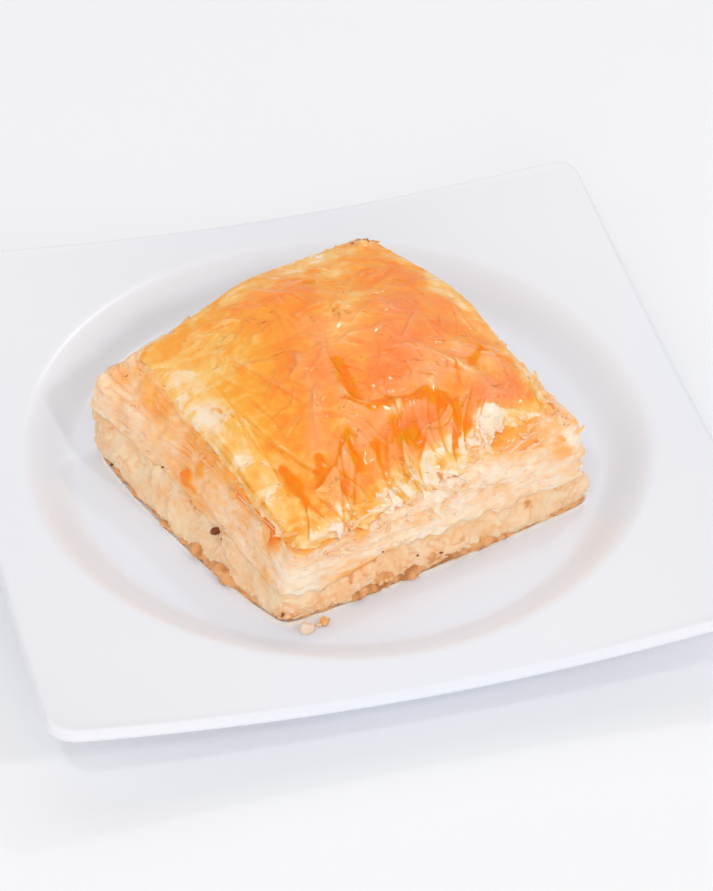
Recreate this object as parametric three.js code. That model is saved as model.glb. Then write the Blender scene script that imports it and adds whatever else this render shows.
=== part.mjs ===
// A square of custard borek on a square porcelain plate with a round well.
// The pastry is three layers: a browned base, a soft custard and a domed stack of flaky sheets.
// Units are millimetres, +Z is up, and the origin is the centre of the plate at the table.
import * as THREE from "three";

// Plate.
const plateSide = 220;
const plateSideBulge = 1.2;
const plateCornerRadius = 8;
const rimHeight = 18.5;
const cornerLift = 7.8;
const rimInnerRadius = 98;
const wellFloorRadius = 80;
const wellFloorHeight = 9;
const lipThickness = 4.2;
const wallThickness = 5;
const footOuterRadius = 70;
const footInnerRadius = 63;
const footHeight = 3;
const footSlope = 3;
const footFlare = 5;

// The lip's rounded edge, from below: how far each ring lies inside the outline, and how far below
// the rim's top, as a share of the lip's thickness.
const lipProfile = [
  { inset: 3.2, drop: 1 },
  { inset: 0.7, drop: 0.85 },
  { inset: 0, drop: 0.5 },
  { inset: 0.6, drop: 0.14 },
  { inset: 2, drop: 0.01 },
];

// Pastry. Each level is a square with its own four corners, given as x and y on the plate. The bow
// is how far the middle of each side stands out from the straight line: right, back, left, front.
// The heights above the well's floor are given at eight stations: right side, back corner, back
// side, left corner, left side, front corner, front side and right corner.
const baseLevel = {
  corners: { front: [-34, -68.6], right: [70.2, -38.4], back: [25.5, 64], left: [-71.6, 19.6] },
  bow: [1, 0.5, 3.4, 1.2],
  heights: [0, 0, 0, 0, 0, 0, 0, 0],
};
const custardLevel = {
  corners: { front: [-33.4, -66.6], right: [67.8, -38.2], back: [25, 62.5], left: [-73, 24.4] },
  bow: [0.6, 0.4, -2.8, -1.2],
  heights: [11, 11, 12, 15.5, 12, 10, 11.5, 10.8],
};
const shoulderLevel = {
  corners: { front: [-30.2, -66.4], right: [67.6, -35.6], back: [26, 63], left: [-72, 25.5] },
  bow: [1.5, 1, -4.2, -2.2],
  heights: [30, 31, 31, 24.5, 23, 22.5, 24, 27],
};
const sheetLevel = {
  corners: { front: [-26.8, -64.8], right: [54, -26], back: [24.5, 62], left: [-54.8, 28] },
  bow: [6.5, 0.5, 2.3, -2],
  heights: [38.5, 34.5, 39.5, 31, 31.5, 26, 31, 33],
};
const cornerSharpness = 26;
const domeHeight = 44;
const domeFullness = 2.6;

// Layers.
const layerGap = 0.3;
const baseThickness = 2.4;
const baseRaggedness = 0.6;
const baseRounding = 0.6;
const custardMiddle = 11.5;
const custardWave = 1.5;
const custardSetback = 0.8;
const custardBulge = [0.9, 0.9, 1.2, 2.6, 0.9, 1, 0.9, 1];
const custardLumps = 0.4;

// The custard's side from below: share of its height, and how much of the bulge it has there.
const custardProfile = [
  { rise: 0, bulge: -0.6 },
  { rise: 0.12, bulge: 0.3 },
  { rise: 0.35, bulge: 0.9 },
  { rise: 0.6, bulge: 1 },
  { rise: 0.85, bulge: 0.6 },
];

// Inside these shares of its outline the boundary between custard and sheets is a plane.
const planeShare = 0.6;
const waveShare = 0.8;

// Sheet layers up the side, as shares of the path from the custard to the top sheet's edge.
const sheetLayers = [0, 0.13, 0.22, 0.36, 0.5, 0.62, 0.8, 1];
const ledgeDepth = [0.7, 0.8, 0.7, 0.9, 0.8, 0.6, 0.5, 0.9];
const creaseDepth = 0.5;
const slopeReach = 0.04;
const ledgeFoot = 0.3;
const ledgeHead = 0.8;

// Fineness of the surfaces. The pastry's outline has four columns to each row of the top's grid.
const plateSteps = { side: 13, corner: 4 };
const topRows = 30;
const pastryColumns = 4 * topRows;

const { sin, cos, abs, exp, max, min, floor, hypot, atan2, PI } = Math;
const turn = 2 * PI;
const mix = (a, b, t) => a + (b - a) * t;
const smooth = (t) => t * t * (3 - 2 * t);
const clamp01 = (t) => max(0, min(1, t));
const ease = (a, b, x) => smooth(clamp01((x - a) / (b - a)));

// Joins rings of points into one closed surface. The rings run round anticlockwise seen from above,
// from the underside out and over the top. The first is a single point, and so is the last, unless
// a grid of points is given, which then closes the top inside the last ring. Each four-sided face
// is split along its shorter diagonal.
function closedSurface(rings, grid) {
  const positions = [];
  const starts = rings.map((ring) => {
    const start = positions.length / 3;
    ring.forEach((point) => positions.push(...point));
    return start;
  });
  const apart = (i, j) =>
    hypot(...[0, 1, 2].map((k) => positions[3 * i + k] - positions[3 * j + k]));
  const faces = [];
  const quad = (a, b, e, d) => {
    if (apart(a, e) < apart(b, d)) faces.push(a, b, e, a, e, d);
    else faces.push(a, b, d, b, e, d);
  };
  const columns = rings[1].length;
  for (let r = 0; r + 1 < rings.length; r++) {
    for (let c = 0; c < columns; c++) {
      const next = (c + 1) % columns;
      const [a, d] = [starts[r], starts[r + 1]];
      if (rings[r].length === 1) faces.push(a, d + next, d + c);
      else if (rings[r + 1].length === 1) faces.push(a + c, a + next, d);
      else quad(a + c, a + next, d + next, d + c);
    }
  }
  if (grid) {
    const index = grid.map((row) => row.map(() => -1));
    outlinePlaces.forEach(([i, j], c) => (index[i][j] = starts[rings.length - 1] + c));
    grid.forEach((row, i) =>
      row.forEach((point, j) => {
        if (index[i][j] >= 0) return;
        index[i][j] = positions.length / 3;
        positions.push(...point);
      }),
    );
    for (let i = 0; i + 1 < grid.length; i++) {
      for (let j = 0; j + 1 < grid.length; j++) {
        quad(index[i][j], index[i + 1][j], index[i + 1][j + 1], index[i][j + 1]);
      }
    }
  }
  const geometry = new THREE.BufferGeometry();
  geometry.setAttribute("position", new THREE.Float32BufferAttribute(positions, 3));
  geometry.setIndex(faces);
  geometry.computeVertexNormals();
  return geometry;
}

// The plate's outline: four slightly bowed sides joined by round corners.
function plateOutline() {
  const half = plateSide / 2;
  const straight = half - plateCornerRadius;
  const points = [];
  for (let k = 0; k < 4; k++) {
    const quarter = (k * PI) / 2;
    const place = (x, y) =>
      points.push([x * cos(quarter) - y * sin(quarter), x * sin(quarter) + y * cos(quarter)]);
    for (let i = 0; i < plateSteps.side; i++) {
      const along = -1 + (2 * i) / plateSteps.side;
      place(half + plateSideBulge * (1 - along * along), along * straight);
    }
    for (let i = 0; i < plateSteps.corner; i++) {
      const angle = (PI / 2) * (i / plateSteps.corner);
      place(straight + plateCornerRadius * cos(angle), straight + plateCornerRadius * sin(angle));
    }
  }
  return points;
}

// The rim rises towards the corners, as the product of the squares of x and y.
function rimTop(x, y) {
  const half = plateSide / 2;
  return rimHeight + cornerLift * (x / half) ** 2 * (y / half) ** 2;
}

function plateGeometry() {
  const outline = plateOutline();
  const circle = (radius, height) =>
    outline.map(([x, y]) => [(x * radius) / hypot(x, y), (y * radius) / hypot(x, y), height]);
  // Rings on the rim are spread from the well's circle (share 0) to the outline (share 1).
  const rim = (share, drop) =>
    outline.map(([x, y]) => {
      const k = mix(rimInnerRadius / hypot(x, y), 1, share);
      return [x * k, y * k, rimTop(x * k, y * k) - drop];
    });
  // Rings on the lip follow the outline, moved in by a distance.
  const lip = (inset, drop) =>
    outline.map(([x, y]) => {
      const k = 1 - inset / hypot(x, y);
      return [x * k, y * k, rimTop(x, y) - drop];
    });
  const wellWall = (share, drop) =>
    outline.map(([x, y]) => {
      const radius = mix(wellFloorRadius, rimInnerRadius, share);
      const k = radius / hypot(x, y);
      const rise = mix(wellFloorHeight, rimTop(x * k, y * k), smooth(share));
      return [x * k, y * k, rise - drop];
    });
  return closedSurface([
    [[0, 0, footHeight]],
    circle(footInnerRadius - footSlope, footHeight),
    circle(footInnerRadius, 0),
    circle(footOuterRadius, 0),
    circle(footOuterRadius + footFlare, footHeight),
    ...[0.45, 0.85].map((share) => wellWall(share, mix(wallThickness, lipThickness, share))),
    rim(0.35, lipThickness),
    ...lipProfile.map(({ inset, drop }) => lip(inset, drop * lipThickness)),
    ...[0.55, 0.2].map((share) => rim(share, 0)),
    ...[1, 0.8, 0.6, 0.4, 0.2, 0].map((share) => wellWall(share, 0)),
    circle(wellFloorRadius / 2, wellFloorHeight),
    [[0, 0, wellFloorHeight]],
  ]);
}

// A value given at the eight stations, at an angle round the pastry, with eased steps between.
function station(values, angle) {
  const place = (((angle / turn) * 8) % 8 + 8) % 8;
  const low = floor(place) % 8;
  return mix(values[low], values[(low + 1) % 8], smooth(place - floor(place)));
}

// Uneven wobble of about -1 to 1 round the outline, different for each layer number.
function wobble(angle, layer) {
  return (
    0.42 * sin(7 * angle + 2.3 * layer) +
    0.31 * sin(13 * angle + 4.1 * layer + 1) +
    0.27 * sin(23 * angle + 1.7 * layer + 2)
  );
}

// Places round the top grid's edge, as row and column, from the middle of the right side.
const outlinePlaces = Array.from({ length: pastryColumns }, (_, c) => {
  const along = (c + topRows / 2) % pastryColumns;
  const step = along % topRows;
  return [
    [topRows, step],
    [topRows - step, topRows],
    [0, topRows - step],
    [step, 0],
  ][floor(along / topRows)];
});
const gridAngle = ([i, j]) => atan2((2 * j) / topRows - 1, (2 * i) / topRows - 1);
const angles = outlinePlaces.map(gridAngle);

// A place in a square with slightly rounded corners, share 0 in its middle and 1 on its outline.
// Both numbers run from -1 to 1, the first to the right and the second to the back.
function inSquare(angle, share) {
  const n = cornerSharpness;
  const reach = (abs(cos(angle)) ** n + abs(sin(angle)) ** n) ** (-1 / n);
  return [cos(angle) * reach * share, sin(angle) * reach * share];
}

// A place of the square laid out between the corners of a level, with the bow of its sides.
function laidOut({ corners, bow }, [p, q]) {
  const { front, right, back, left } = corners;
  const sides = [
    [(1 + p) / 2, 1 - q * q, bow[0], right, back],
    [(1 + q) / 2, 1 - p * p, bow[1], back, left],
    [(1 - p) / 2, 1 - q * q, bow[2], left, front],
    [(1 - q) / 2, 1 - p * p, bow[3], front, right],
  ];
  const place = [0, 1].map(
    (i) =>
      ((1 - p) * (1 - q) * front[i] +
        (1 + p) * (1 - q) * right[i] +
        (1 + p) * (1 + q) * back[i] +
        (1 - p) * (1 + q) * left[i]) /
      4,
  );
  for (const [near, middle, out, from, to] of sides) {
    const length = hypot(to[0] - from[0], to[1] - from[1]);
    const push = out * near * middle;
    place[0] += (push * (to[1] - from[1])) / length;
    place[1] -= (push * (to[0] - from[0])) / length;
  }
  return place;
}

// A point on a level's outline, as distance out from the pastry's axis, direction and height.
const axis = laidOut(baseLevel, [0, 0]);
function onLevel(level, angle, share = 1) {
  const [x, y] = laidOut(level, inSquare(angle, share));
  const out = hypot(x - axis[0], y - axis[1]);
  const way = atan2(y - axis[1], x - axis[0]);
  return { out, way, height: station(level.heights, angle) };
}

// Turns a place with distance, direction and height above the well's floor into x, y and z.
const placed = ({ out, way, height }) => [
  axis[0] + out * cos(way),
  axis[1] + out * sin(way),
  wellFloorHeight + height,
];
const ring = (place) => angles.map((angle) => placed(place(angle)));
const onAxis = (height) => [[...axis, wellFloorHeight + height]];

// A place between two others, by share.
const between = (a, b, share) => ({
  out: mix(a.out, b.out, share),
  way: a.way + share * (((b.way - a.way + 3 * PI) % turn) - PI),
  height: mix(a.height, b.height, share),
});

// The browned base has a ragged edge that stands out unevenly from under the custard.
function baseGeometry() {
  const edge = (push, height) =>
    ring((angle) => {
      const at = onLevel(baseLevel, angle);
      return { ...at, out: at.out + push + baseRaggedness * wobble(angle, 1), height };
    });
  return closedSurface([
    onAxis(layerGap),
    edge(-baseRounding, layerGap),
    edge(0, layerGap + baseRounding),
    edge(0, baseThickness - baseRounding),
    edge(-baseRounding, baseThickness),
    onAxis(baseThickness),
  ]);
}

// The wavy boundary between custard and sheets. Towards the middle it evens out to a plane.
function boundary(angle, share, lift) {
  const at = onLevel(custardLevel, angle, share);
  const wave = custardWave * (0.7 * wobble(angle, 3) + 0.5 * sin(angle * 2 + 2.6));
  const height = mix(custardMiddle, at.height + wave, ease(planeShare, waveShare, share));
  return { ...at, height: height + lift };
}
const boundaryRing = (share, lift) => ring((angle) => boundary(angle, share, lift));

// The custard bulges between the base and the sheets, and lies in lumps.
function custardGeometry() {
  const low = baseThickness + layerGap;
  const wall = ({ rise, bulge }) =>
    ring((angle) => {
      const edge = onLevel(baseLevel, angle);
      const foot = { ...edge, out: edge.out - custardSetback, height: low };
      const at = between(foot, boundary(angle, 1, 0), rise);
      const swell = bulge * station(custardBulge, angle) * (1 + 0.6 * wobble(angle, 5 + rise));
      return { ...at, out: at.out + swell + custardLumps * sin(17 * angle + 4 * rise) };
    });
  return closedSurface([
    onAxis(low),
    ...custardProfile.map(wall),
    boundaryRing(1, 0),
    boundaryRing(waveShare, 0),
    boundaryRing(planeShare, 0),
    onAxis(custardMiddle),
  ]);
}

// Folds and grooves of the top sheet: each runs from one place on its square to another, with its
// height (below zero for a groove) and half width in millimetres. The last is the curled back tip.
const folds = [
  { from: [-0.13, -0.02], to: [-0.08, -0.5], height: -2.2, width: 2.8 },
  { from: [-0.22, 0.04], to: [-0.2, -0.47], height: 1.8, width: 3 },
  { from: [-0.19, -0.52], to: [0.16, -0.66], height: 2.4, width: 3.2 },
  { from: [0.16, -0.66], to: [0.46, -0.5], height: 2.6, width: 3.2 },
  { from: [0.2, -0.77], to: [0.3, -0.76], height: -1.6, width: 3 },
  { from: [0.4, -0.68], to: [0.36, -0.97], height: 2, width: 2.8 },
  { from: [0.52, -0.92], to: [0.72, -0.95], height: 2.6, width: 3.6 },
  { from: [0.45, -0.33], to: [0.72, -0.62], height: 1.9, width: 3 },
  { from: [0.72, -0.62], to: [0.83, -0.88], height: 1.6, width: 3 },
  { from: [0.62, -0.36], to: [0.92, -0.66], height: 1.6, width: 2.8 },
  { from: [-0.31, -0.55], to: [-0.25, -0.84], height: 1.8, width: 3 },
  { from: [-0.02, -0.72], to: [-0.03, -0.97], height: 2, width: 3 },
  { from: [0.15, -0.8], to: [0.16, -0.98], height: 1.7, width: 2.8 },
  { from: [-0.25, 0.1], to: [-0.36, -0.25], height: 1.6, width: 3.2 },
  { from: [-0.36, -0.25], to: [-0.5, -0.52], height: 1.5, width: 3.2 },
  { from: [-0.6, -0.5], to: [-0.6, -0.9], height: 1.6, width: 3 },
  { from: [-0.84, -0.15], to: [-0.8, -0.75], height: -1.3, width: 2.8 },
  { from: [0.84, 0.93], to: [0.94, 0.9], height: 1.8, width: 3 },
];
const sheetHalfSide = 50;

// Broad swells of the top, in millimetres: one across both ways, and one on the slant.
const broadSwell = 0.9;
const slantSwell = 0.5;

// Height that the folds and the broad swells add at a place on the sheet's square.
function relief(p, q) {
  let lift = broadSwell * sin(3.1 * p + 1.2) * cos(2.7 * q - 0.6) + slantSwell * sin(6.3 * p + 4 * q);
  for (const { from, to, height, width } of folds) {
    const along = [to[0] - from[0], to[1] - from[1]];
    const part = ((p - from[0]) * along[0] + (q - from[1]) * along[1]) / hypot(...along) ** 2;
    const reached = clamp01(part);
    const away = hypot(p - from[0] - along[0] * reached, q - from[1] - along[1] * reached);
    lift += height * exp(-(((away * sheetHalfSide) / width) ** 2));
  }
  return lift;
}

// A point on the domed top: share runs from the middle (0) to the top sheet's edge (1). The dome
// falls to the edge's height as one less the product of two arches, one each way.
function onTop(angle, share) {
  const [p, q] = inSquare(angle, share);
  const at = onLevel(sheetLevel, angle, share);
  const arch = (1 - abs(p) ** domeFullness) * (1 - abs(q) ** domeFullness);
  return { ...at, height: mix(at.height, domeHeight, arch) + relief(p, q) };
}

// The side of the sheets: up the cut face from the custard's edge (share 0) to the shoulder (a half),
// then in over the terrace to the top sheet's edge (share 1).
function sidePath(angle, share) {
  const shoulder = onLevel(shoulderLevel, angle);
  if (share < 0.5) return between(boundary(angle, 1, layerGap), shoulder, share * 2);
  return between(shoulder, onTop(angle, 1), share * 2 - 1);
}

// A ring on the side, pushed out square to the path by a distance in millimetres. The path's slope
// is taken over a short reach to both sides, which rounds the shoulder.
function sideRing(share, push) {
  return ring((angle) => {
    const at = sidePath(angle, share);
    const below = sidePath(angle, share - slopeReach);
    const above = sidePath(angle, share + slopeReach);
    const rise = above.height - below.height;
    const run = above.out - below.out;
    const away = push(angle) / hypot(rise, run);
    return { ...at, out: at.out + away * rise, height: at.height - away * run };
  });
}

// The stack of flaky sheets, with its layers as ledges at the sides and folds on the glazed top.
function sheetsGeometry() {
  const rings = [
    onAxis(custardMiddle + layerGap),
    boundaryRing(planeShare, layerGap),
    boundaryRing(waveShare, layerGap),
    boundaryRing(1, layerGap),
  ];
  for (let layer = 0; layer + 1 < sheetLayers.length; layer++) {
    const level = (share) => mix(sheetLayers[layer], sheetLayers[layer + 1], share);
    const ledge = (angle) => station(ledgeDepth, angle) * (1 + wobble(angle, 10 + layer));
    rings.push(sideRing(level(ledgeFoot), ledge), sideRing(level(ledgeHead), ledge));
    if (layer + 2 < sheetLayers.length) rings.push(sideRing(level(1), () => -creaseDepth));
  }
  rings.push(ring((angle) => onTop(angle, 1)));
  const grid = Array.from({ length: topRows + 1 }, (_, i) =>
    Array.from({ length: topRows + 1 }, (_, j) => {
      const share = max(abs((2 * i) / topRows - 1), abs((2 * j) / topRows - 1));
      return placed(onTop(gridAngle([i, j]), share));
    }),
  );
  return closedSurface(rings, grid);
}

function named(name, geometry, color, roughness) {
  const material = new THREE.MeshStandardMaterial({ color, roughness, metalness: 0 });
  const mesh = new THREE.Mesh(geometry, material);
  mesh.name = name;
  return mesh;
}

const borekOnPlate = new THREE.Group();
borekOnPlate.add(
  named("plate", plateGeometry(), "#f3f2f5", 0.15),
  named("pastry_base", baseGeometry(), "#c98a4e", 0.6),
  named("custard", custardGeometry(), "#e6cfa6", 0.45),
  named("pastry_sheets", sheetsGeometry(), "#f0ab5c", 0.35),
);

export default borekOnPlate;
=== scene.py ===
"""Looks for a square of custard borek on a square porcelain plate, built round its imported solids.

Lengths in this file are millimetres in the part's frame until a mesh is made, which is in metres.
"""

import bpy
import numpy as np
from mathutils import Matrix, Vector


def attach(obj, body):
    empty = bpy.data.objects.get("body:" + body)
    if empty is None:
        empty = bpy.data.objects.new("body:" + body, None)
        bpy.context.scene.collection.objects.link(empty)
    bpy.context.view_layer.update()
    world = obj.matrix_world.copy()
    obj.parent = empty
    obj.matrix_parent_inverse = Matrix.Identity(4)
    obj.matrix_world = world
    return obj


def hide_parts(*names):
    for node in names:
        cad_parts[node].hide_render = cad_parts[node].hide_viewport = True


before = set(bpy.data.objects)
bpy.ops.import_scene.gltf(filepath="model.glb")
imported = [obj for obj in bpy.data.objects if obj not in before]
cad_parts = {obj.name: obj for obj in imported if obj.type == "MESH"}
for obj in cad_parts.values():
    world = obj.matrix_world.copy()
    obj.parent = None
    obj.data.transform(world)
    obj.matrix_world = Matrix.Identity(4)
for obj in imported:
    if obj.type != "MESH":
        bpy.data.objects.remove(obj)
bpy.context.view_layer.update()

bl_info = {
    "name": "Custard borek on a plate",
    "version": (1, 0, 0),
    "blender": (4, 5, 0),
    "location": "3D View > Sidebar > Borek",
    "description": "Builds the plate, the pastry's layers, the syrup, the crumbs and the stage",
    "category": "Add Mesh",
}

MM = 0.001
BODY = "root"

# The plate, as in the solids.
PLATE_HALF = 110
PLATE_BULGE = 1.2
PLATE_CORNER = 8
RIM_HEIGHT = 18.5
CORNER_LIFT = 7.8
RIM_INNER = 98
WELL_RADIUS = 80
WELL_HEIGHT = 9
LIP = 4.2
LIP_ROUND = 2.0
WALL = 5
FOOT_OUTER = 70
FOOT_INNER = 63
FOOT_HEIGHT = 3

# The pastry's levels, as in the solids: corners on the plate, bow of the sides (right, back, left,
# front) and heights above the well's floor at eight stations round the outline.
BASE = {
    "corners": {"front": (-34, -68.6), "right": (70.2, -38.4), "back": (25.5, 64), "left": (-71.6, 19.6)},
    "bow": (1, 0.5, 3.4, 1.2),
    "heights": (0, 0, 0, 0, 0, 0, 0, 0),
}
CUSTARD = {
    "corners": {"front": (-33.4, -66.6), "right": (67.8, -38.2), "back": (25, 62.5), "left": (-73, 24.4)},
    "bow": (0.6, 0.4, -2.8, -1.2),
    "heights": (11, 11, 12, 15.5, 12, 10, 11.5, 10.8),
}
SHOULDER = {
    "corners": {"front": (-30.2, -66.4), "right": (67.6, -35.6), "back": (26, 63), "left": (-72, 25.5)},
    "bow": (1.5, 1, -4.2, -2.2),
    "heights": (30, 31, 31, 24.5, 23, 22.5, 24, 27),
}
SHEET = {
    "corners": {"front": (-26.8, -64.8), "right": (54, -26), "back": (24.5, 62), "left": (-54.8, 28)},
    "bow": (6.5, 0.5, 2.3, -2),
    "heights": (38.5, 34.5, 39.5, 31, 31.5, 26, 31, 33),
}
SHARPNESS = 26
SLOPES = 4096
DOME_HEIGHT = 44
DOME_FULLNESS = 2.6
SHEET_HALF = 50
GAP = 0.3
BASE_THICKNESS = 2.4
CUSTARD_MIDDLE = 11.5
CUSTARD_WAVE = 1.5
CUSTARD_BULGE = (0.9, 0.9, 1.2, 2.6, 0.9, 1, 0.9, 1)
CUSTARD_PROFILE = ((0, -0.6), (0.12, 0.3), (0.35, 0.9), (0.6, 1), (0.85, 0.6), (1, 0))

# The base's edge: share of its height and how far in it lies.
BASE_PROFILE = (
    (0, 0.9), (0.1, 0.3), (0.25, 0), (0.45, 0.1), (0.65, 0.35), (0.82, 0.7), (0.94, 1.3), (1, 2.4),
)

# Ridges of the top sheet: the line they follow on its square, height and half width.
RIDGES = (
    (((-0.12, 0.06), (-0.16, -0.2), (-0.22, -0.42), (-0.24, -0.5)), 1.8, 2.4),
    (((-0.21, -0.49), (-0.05, -0.6), (0.07, -0.64), (0.2, -0.66), (0.32, -0.62), (0.44, -0.54)), 2.7, 2.6),
    (((-0.28, 0.12), (-0.33, -0.1), (-0.4, -0.3), (-0.47, -0.42), (-0.53, -0.53)), 1.5, 2.2),
    (((0.38, -0.28), (0.47, -0.42), (0.56, -0.55), (0.66, -0.7), (0.74, -0.84)), 1.9, 2.2),
    (((0.6, -0.34), (0.74, -0.5), (0.85, -0.6), (0.93, -0.74)), 1.6, 2.2),
    (((0.36, -0.68), (0.38, -0.8), (0.36, -0.95)), 1.9, 1.9),
    (((0.5, -0.89), (0.6, -0.94), (0.72, -0.95)), 2.6, 3.2),
    (((-0.31, -0.55), (-0.28, -0.7), (-0.25, -0.86)), 1.7, 2),
    (((-0.02, -0.7), (-0.04, -0.82), (-0.03, -0.96)), 2, 2.1),
    (((0.15, -0.76), (0.15, -0.86), (0.17, -0.97)), 1.6, 1.9),
    (((-0.58, -0.5), (-0.62, -0.7), (-0.6, -0.9)), 1.4, 2),
    (((-0.45, -0.6), (-0.42, -0.75), (-0.45, -0.92)), 1.3, 1.7),
    (((0.84, 0.93), (0.94, 0.9)), 1.8, 2.6),
)

# Valleys where syrup has gathered: line, depth and half width.
VALLEYS = (
    (((-0.11, -0.03), (-0.1, -0.25), (-0.13, -0.42), (-0.1, -0.52)), 2.1, 2.6),
    (((0.2, -0.73), (0.32, -0.76)), 1.5, 2.6),
    (((0.43, -0.76), (0.42, -0.88), (0.45, -0.98)), 1.1, 2.2),
    (((-0.72, -0.5), (-0.67, -0.68), (-0.63, -0.84)), 1.1, 2.6),
    (((-0.82, -0.15), (-0.8, -0.47), (-0.81, -0.74)), 1.2, 1.9),
    (((-0.12, -0.68), (-0.13, -0.92)), 1.2, 2),
    (((0.06, -0.72), (0.06, -0.93)), 1.2, 1.8),
    (((-0.36, -0.6), (-0.34, -0.87)), 1.1, 1.8),
    (((0.84, -0.46), (0.78, -0.52), (0.72, -0.57)), 0.7, 1.5),
)

# Lumps on the sides: place, radius, height and bake from cream to dark.
LUMPS = (
    ((-50.8, -16.5, 26.2), 2.8, 1.4, 1.6),
    ((-49.2, -20.5, 25.0), 1.6, 0.5, 0.9),
    ((-57.4, 20.6, 38.5), 5.0, 0.3, 0.2),
    ((-56.4, 12.0, 38.0), 5.0, 0.4, 0.45),
    ((-55.2, 3.5, 36.3), 4.6, 0.3, 0.3),
    ((-50.0, -4.0, 38.0), 4.0, 0.0, -0.3),
    ((-53.8, -5.0, 34.6), 4.0, 0.2, 0.15),
    ((-36.0, -42.0, 35.0), 4.0, 0.0, 0.6),
    ((-31.5, -53.0, 34.5), 4.5, 0.0, 0.8),
    ((-47.4, -20.0, 31.8), 2.8, 0.3, 0.8),
    ((11.1, -52.6, 27.5), 4.0, 0.6, 0.15),
    ((-8.5, -57.8, 32.7), 3.6, 0.3, 0.5),
    ((58.3, -38.2, 32.2), 3.8, 0.4, 0.45),
    ((65.0, -33.5, 39.0), 2.4, 0.6, 0.7),
    ((44.0, -37.5, 38.0), 7.0, 0.0, 0.5),
    ((34.0, -38.7, 38.0), 5.0, 0.0, 0.35),
    ((58.0, -35.0, 38.2), 4.0, 0.0, 0.3),
    # This one is paler partly for the cream of the shelf and partly as painted light over the shade of its
    # hollow.
    ((63.0, -36.8, 34.1), 4.0, 0.3, -0.5),
    ((-28.0, -65.5, 22.0), 6.0, 0.4, -0.4),
    ((49.6, -30.0, 42.0), 4.5, 0.0, 0.5),
    ((-33.0, -53.5, 32.0), 4.5, 0.0, 0.9),
    ((-30.5, -68.5, 12.0), 3.2, 0.9, 0.7),
    ((-34.5, -66.0, 11.5), 2.4, 0.8, 0.5),
    ((24.0, -51.8, 16.0), 3.2, 0.8, 0.35),
    ((30.5, -49.5, 14.0), 3.0, 0.7, 0.3),
    ((46.9, -44.0, 18.4), 1.7, 1.0, 0.95),
    ((51.5, -43.0, 19.5), 3.2, 1.2, -0.3),
    ((44.0, -45.5, 14.5), 3.0, 0.9, 0.2),
    ((37.5, -47.9, 13.1), 3.0, 0.7, 0.45),
    ((-24.5, -65.0, 17.5), 3.4, 1.1, -0.3),
    ((-11.8, -61.0, 15.0), 6.0, 0.8, 0.8),
    ((15.5, -54.8, 13.0), 3.0, 0.6, 1.5),
    ((9.7, -56.0, 16.5), 1.6, 0.3, 1.2),
    ((-1.5, -58.6, 13.0), 3.2, 0.6, 1.0),
    ((-5.5, -58.6, 18.0), 3.4, 0.7, 0.6),
    ((1.0, -57.0, 19.8), 2.8, 0.6, 0.5),
    ((4.5, -57.0, 14.0), 3.4, 0.7, 0.55),
    ((13.0, -55.0, 15.0), 3.0, 0.6, 0.6),
    ((21.0, -53.0, 12.5), 2.6, 0.5, 0.85),
    ((-62.5, -6.0, 14.0), 3.0, 0.5, 0.35),
    ((-38.0, -57.0, 20.0), 3.0, 0.6, 0.45),
    ((-41.0, -48.0, 13.5), 3.2, 0.6, -0.1),
)


def mix(a, b, share):
    """The straight blend of two values: a at a share of zero, b at a share of one."""
    return a + (b - a) * share


def smooth(t):
    """3t^2-2t^3, which sets off and arrives level."""
    return t * t * (3 - 2 * t)


def ease(low, high, x):
    """How far x has come on its way from low to high, from 0 to 1, level at both ends."""
    return smooth(np.clip((x - low) / (high - low), 0, 1))


def station(values, angle):
    """A value given at eight stations round the outline, with eased steps between them."""
    place = (angle * 4 / np.pi) % 8
    low = np.floor(place).astype(int) % 8
    table = np.asarray(values, float)
    return mix(table[low], table[(low + 1) % 8], smooth(place - np.floor(place)))


def wobble(angle, layer):
    """Three sines of 7, 13 and 23 waves round the outline, with a phase for each layer number."""
    return (
        0.42 * np.sin(7 * angle + 2.3 * layer)
        + 0.31 * np.sin(13 * angle + 4.1 * layer + 1)
        + 0.27 * np.sin(23 * angle + 1.7 * layer + 2)
    )


def outline_angles(per_side):
    """Angles of points evenly spaced along a square's sides, from the middle of the right side."""
    count = np.arange(4 * per_side)
    along = (count + per_side / 2) % (4 * per_side)
    u = 2 * (along % per_side) / per_side - 1
    one = np.ones_like(u)
    side = (along // per_side).astype(int)
    return np.arctan2(np.choose(side, [u, one, -u, -one]), np.choose(side, [one, -u, -one, u]))


def in_square(angle, share):
    """A superellipse of power 26: p is to the right and q to the back, both from -1 to 1."""
    c, s = np.cos(angle), np.sin(angle)
    reach = (np.abs(c) ** SHARPNESS + np.abs(s) ** SHARPNESS) ** (-1 / SHARPNESS)
    return c * reach * share, s * reach * share


def laid_out(level, p, q):
    """The bilinear blend of a level's four corners, pushed out by the bow times one less the square
    of the place along each side."""
    corner = {name: np.array(place, float) for name, place in level["corners"].items()}
    weights = (
        ("front", 1 - p, 1 - q), ("right", 1 + p, 1 - q), ("back", 1 + p, 1 + q), ("left", 1 - p, 1 + q),
    )
    x, y = (sum(corner[name][i] * a * b for name, a, b in weights) / 4 for i in (0, 1))
    sides = (
        ((1 + p) / 2 * (1 - q * q), "right", "back"),
        ((1 + q) / 2 * (1 - p * p), "back", "left"),
        ((1 - p) / 2 * (1 - q * q), "left", "front"),
        ((1 - q) / 2 * (1 - p * p), "front", "right"),
    )
    for bow, (near, start, end) in zip(level["bow"], sides):
        dx, dy = corner[end] - corner[start]
        x = x + bow * near * dy / np.hypot(dx, dy)
        y = y - bow * near * dx / np.hypot(dx, dy)
    return x, y


AXIS = laid_out(BASE, 0.0, 0.0)


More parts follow.
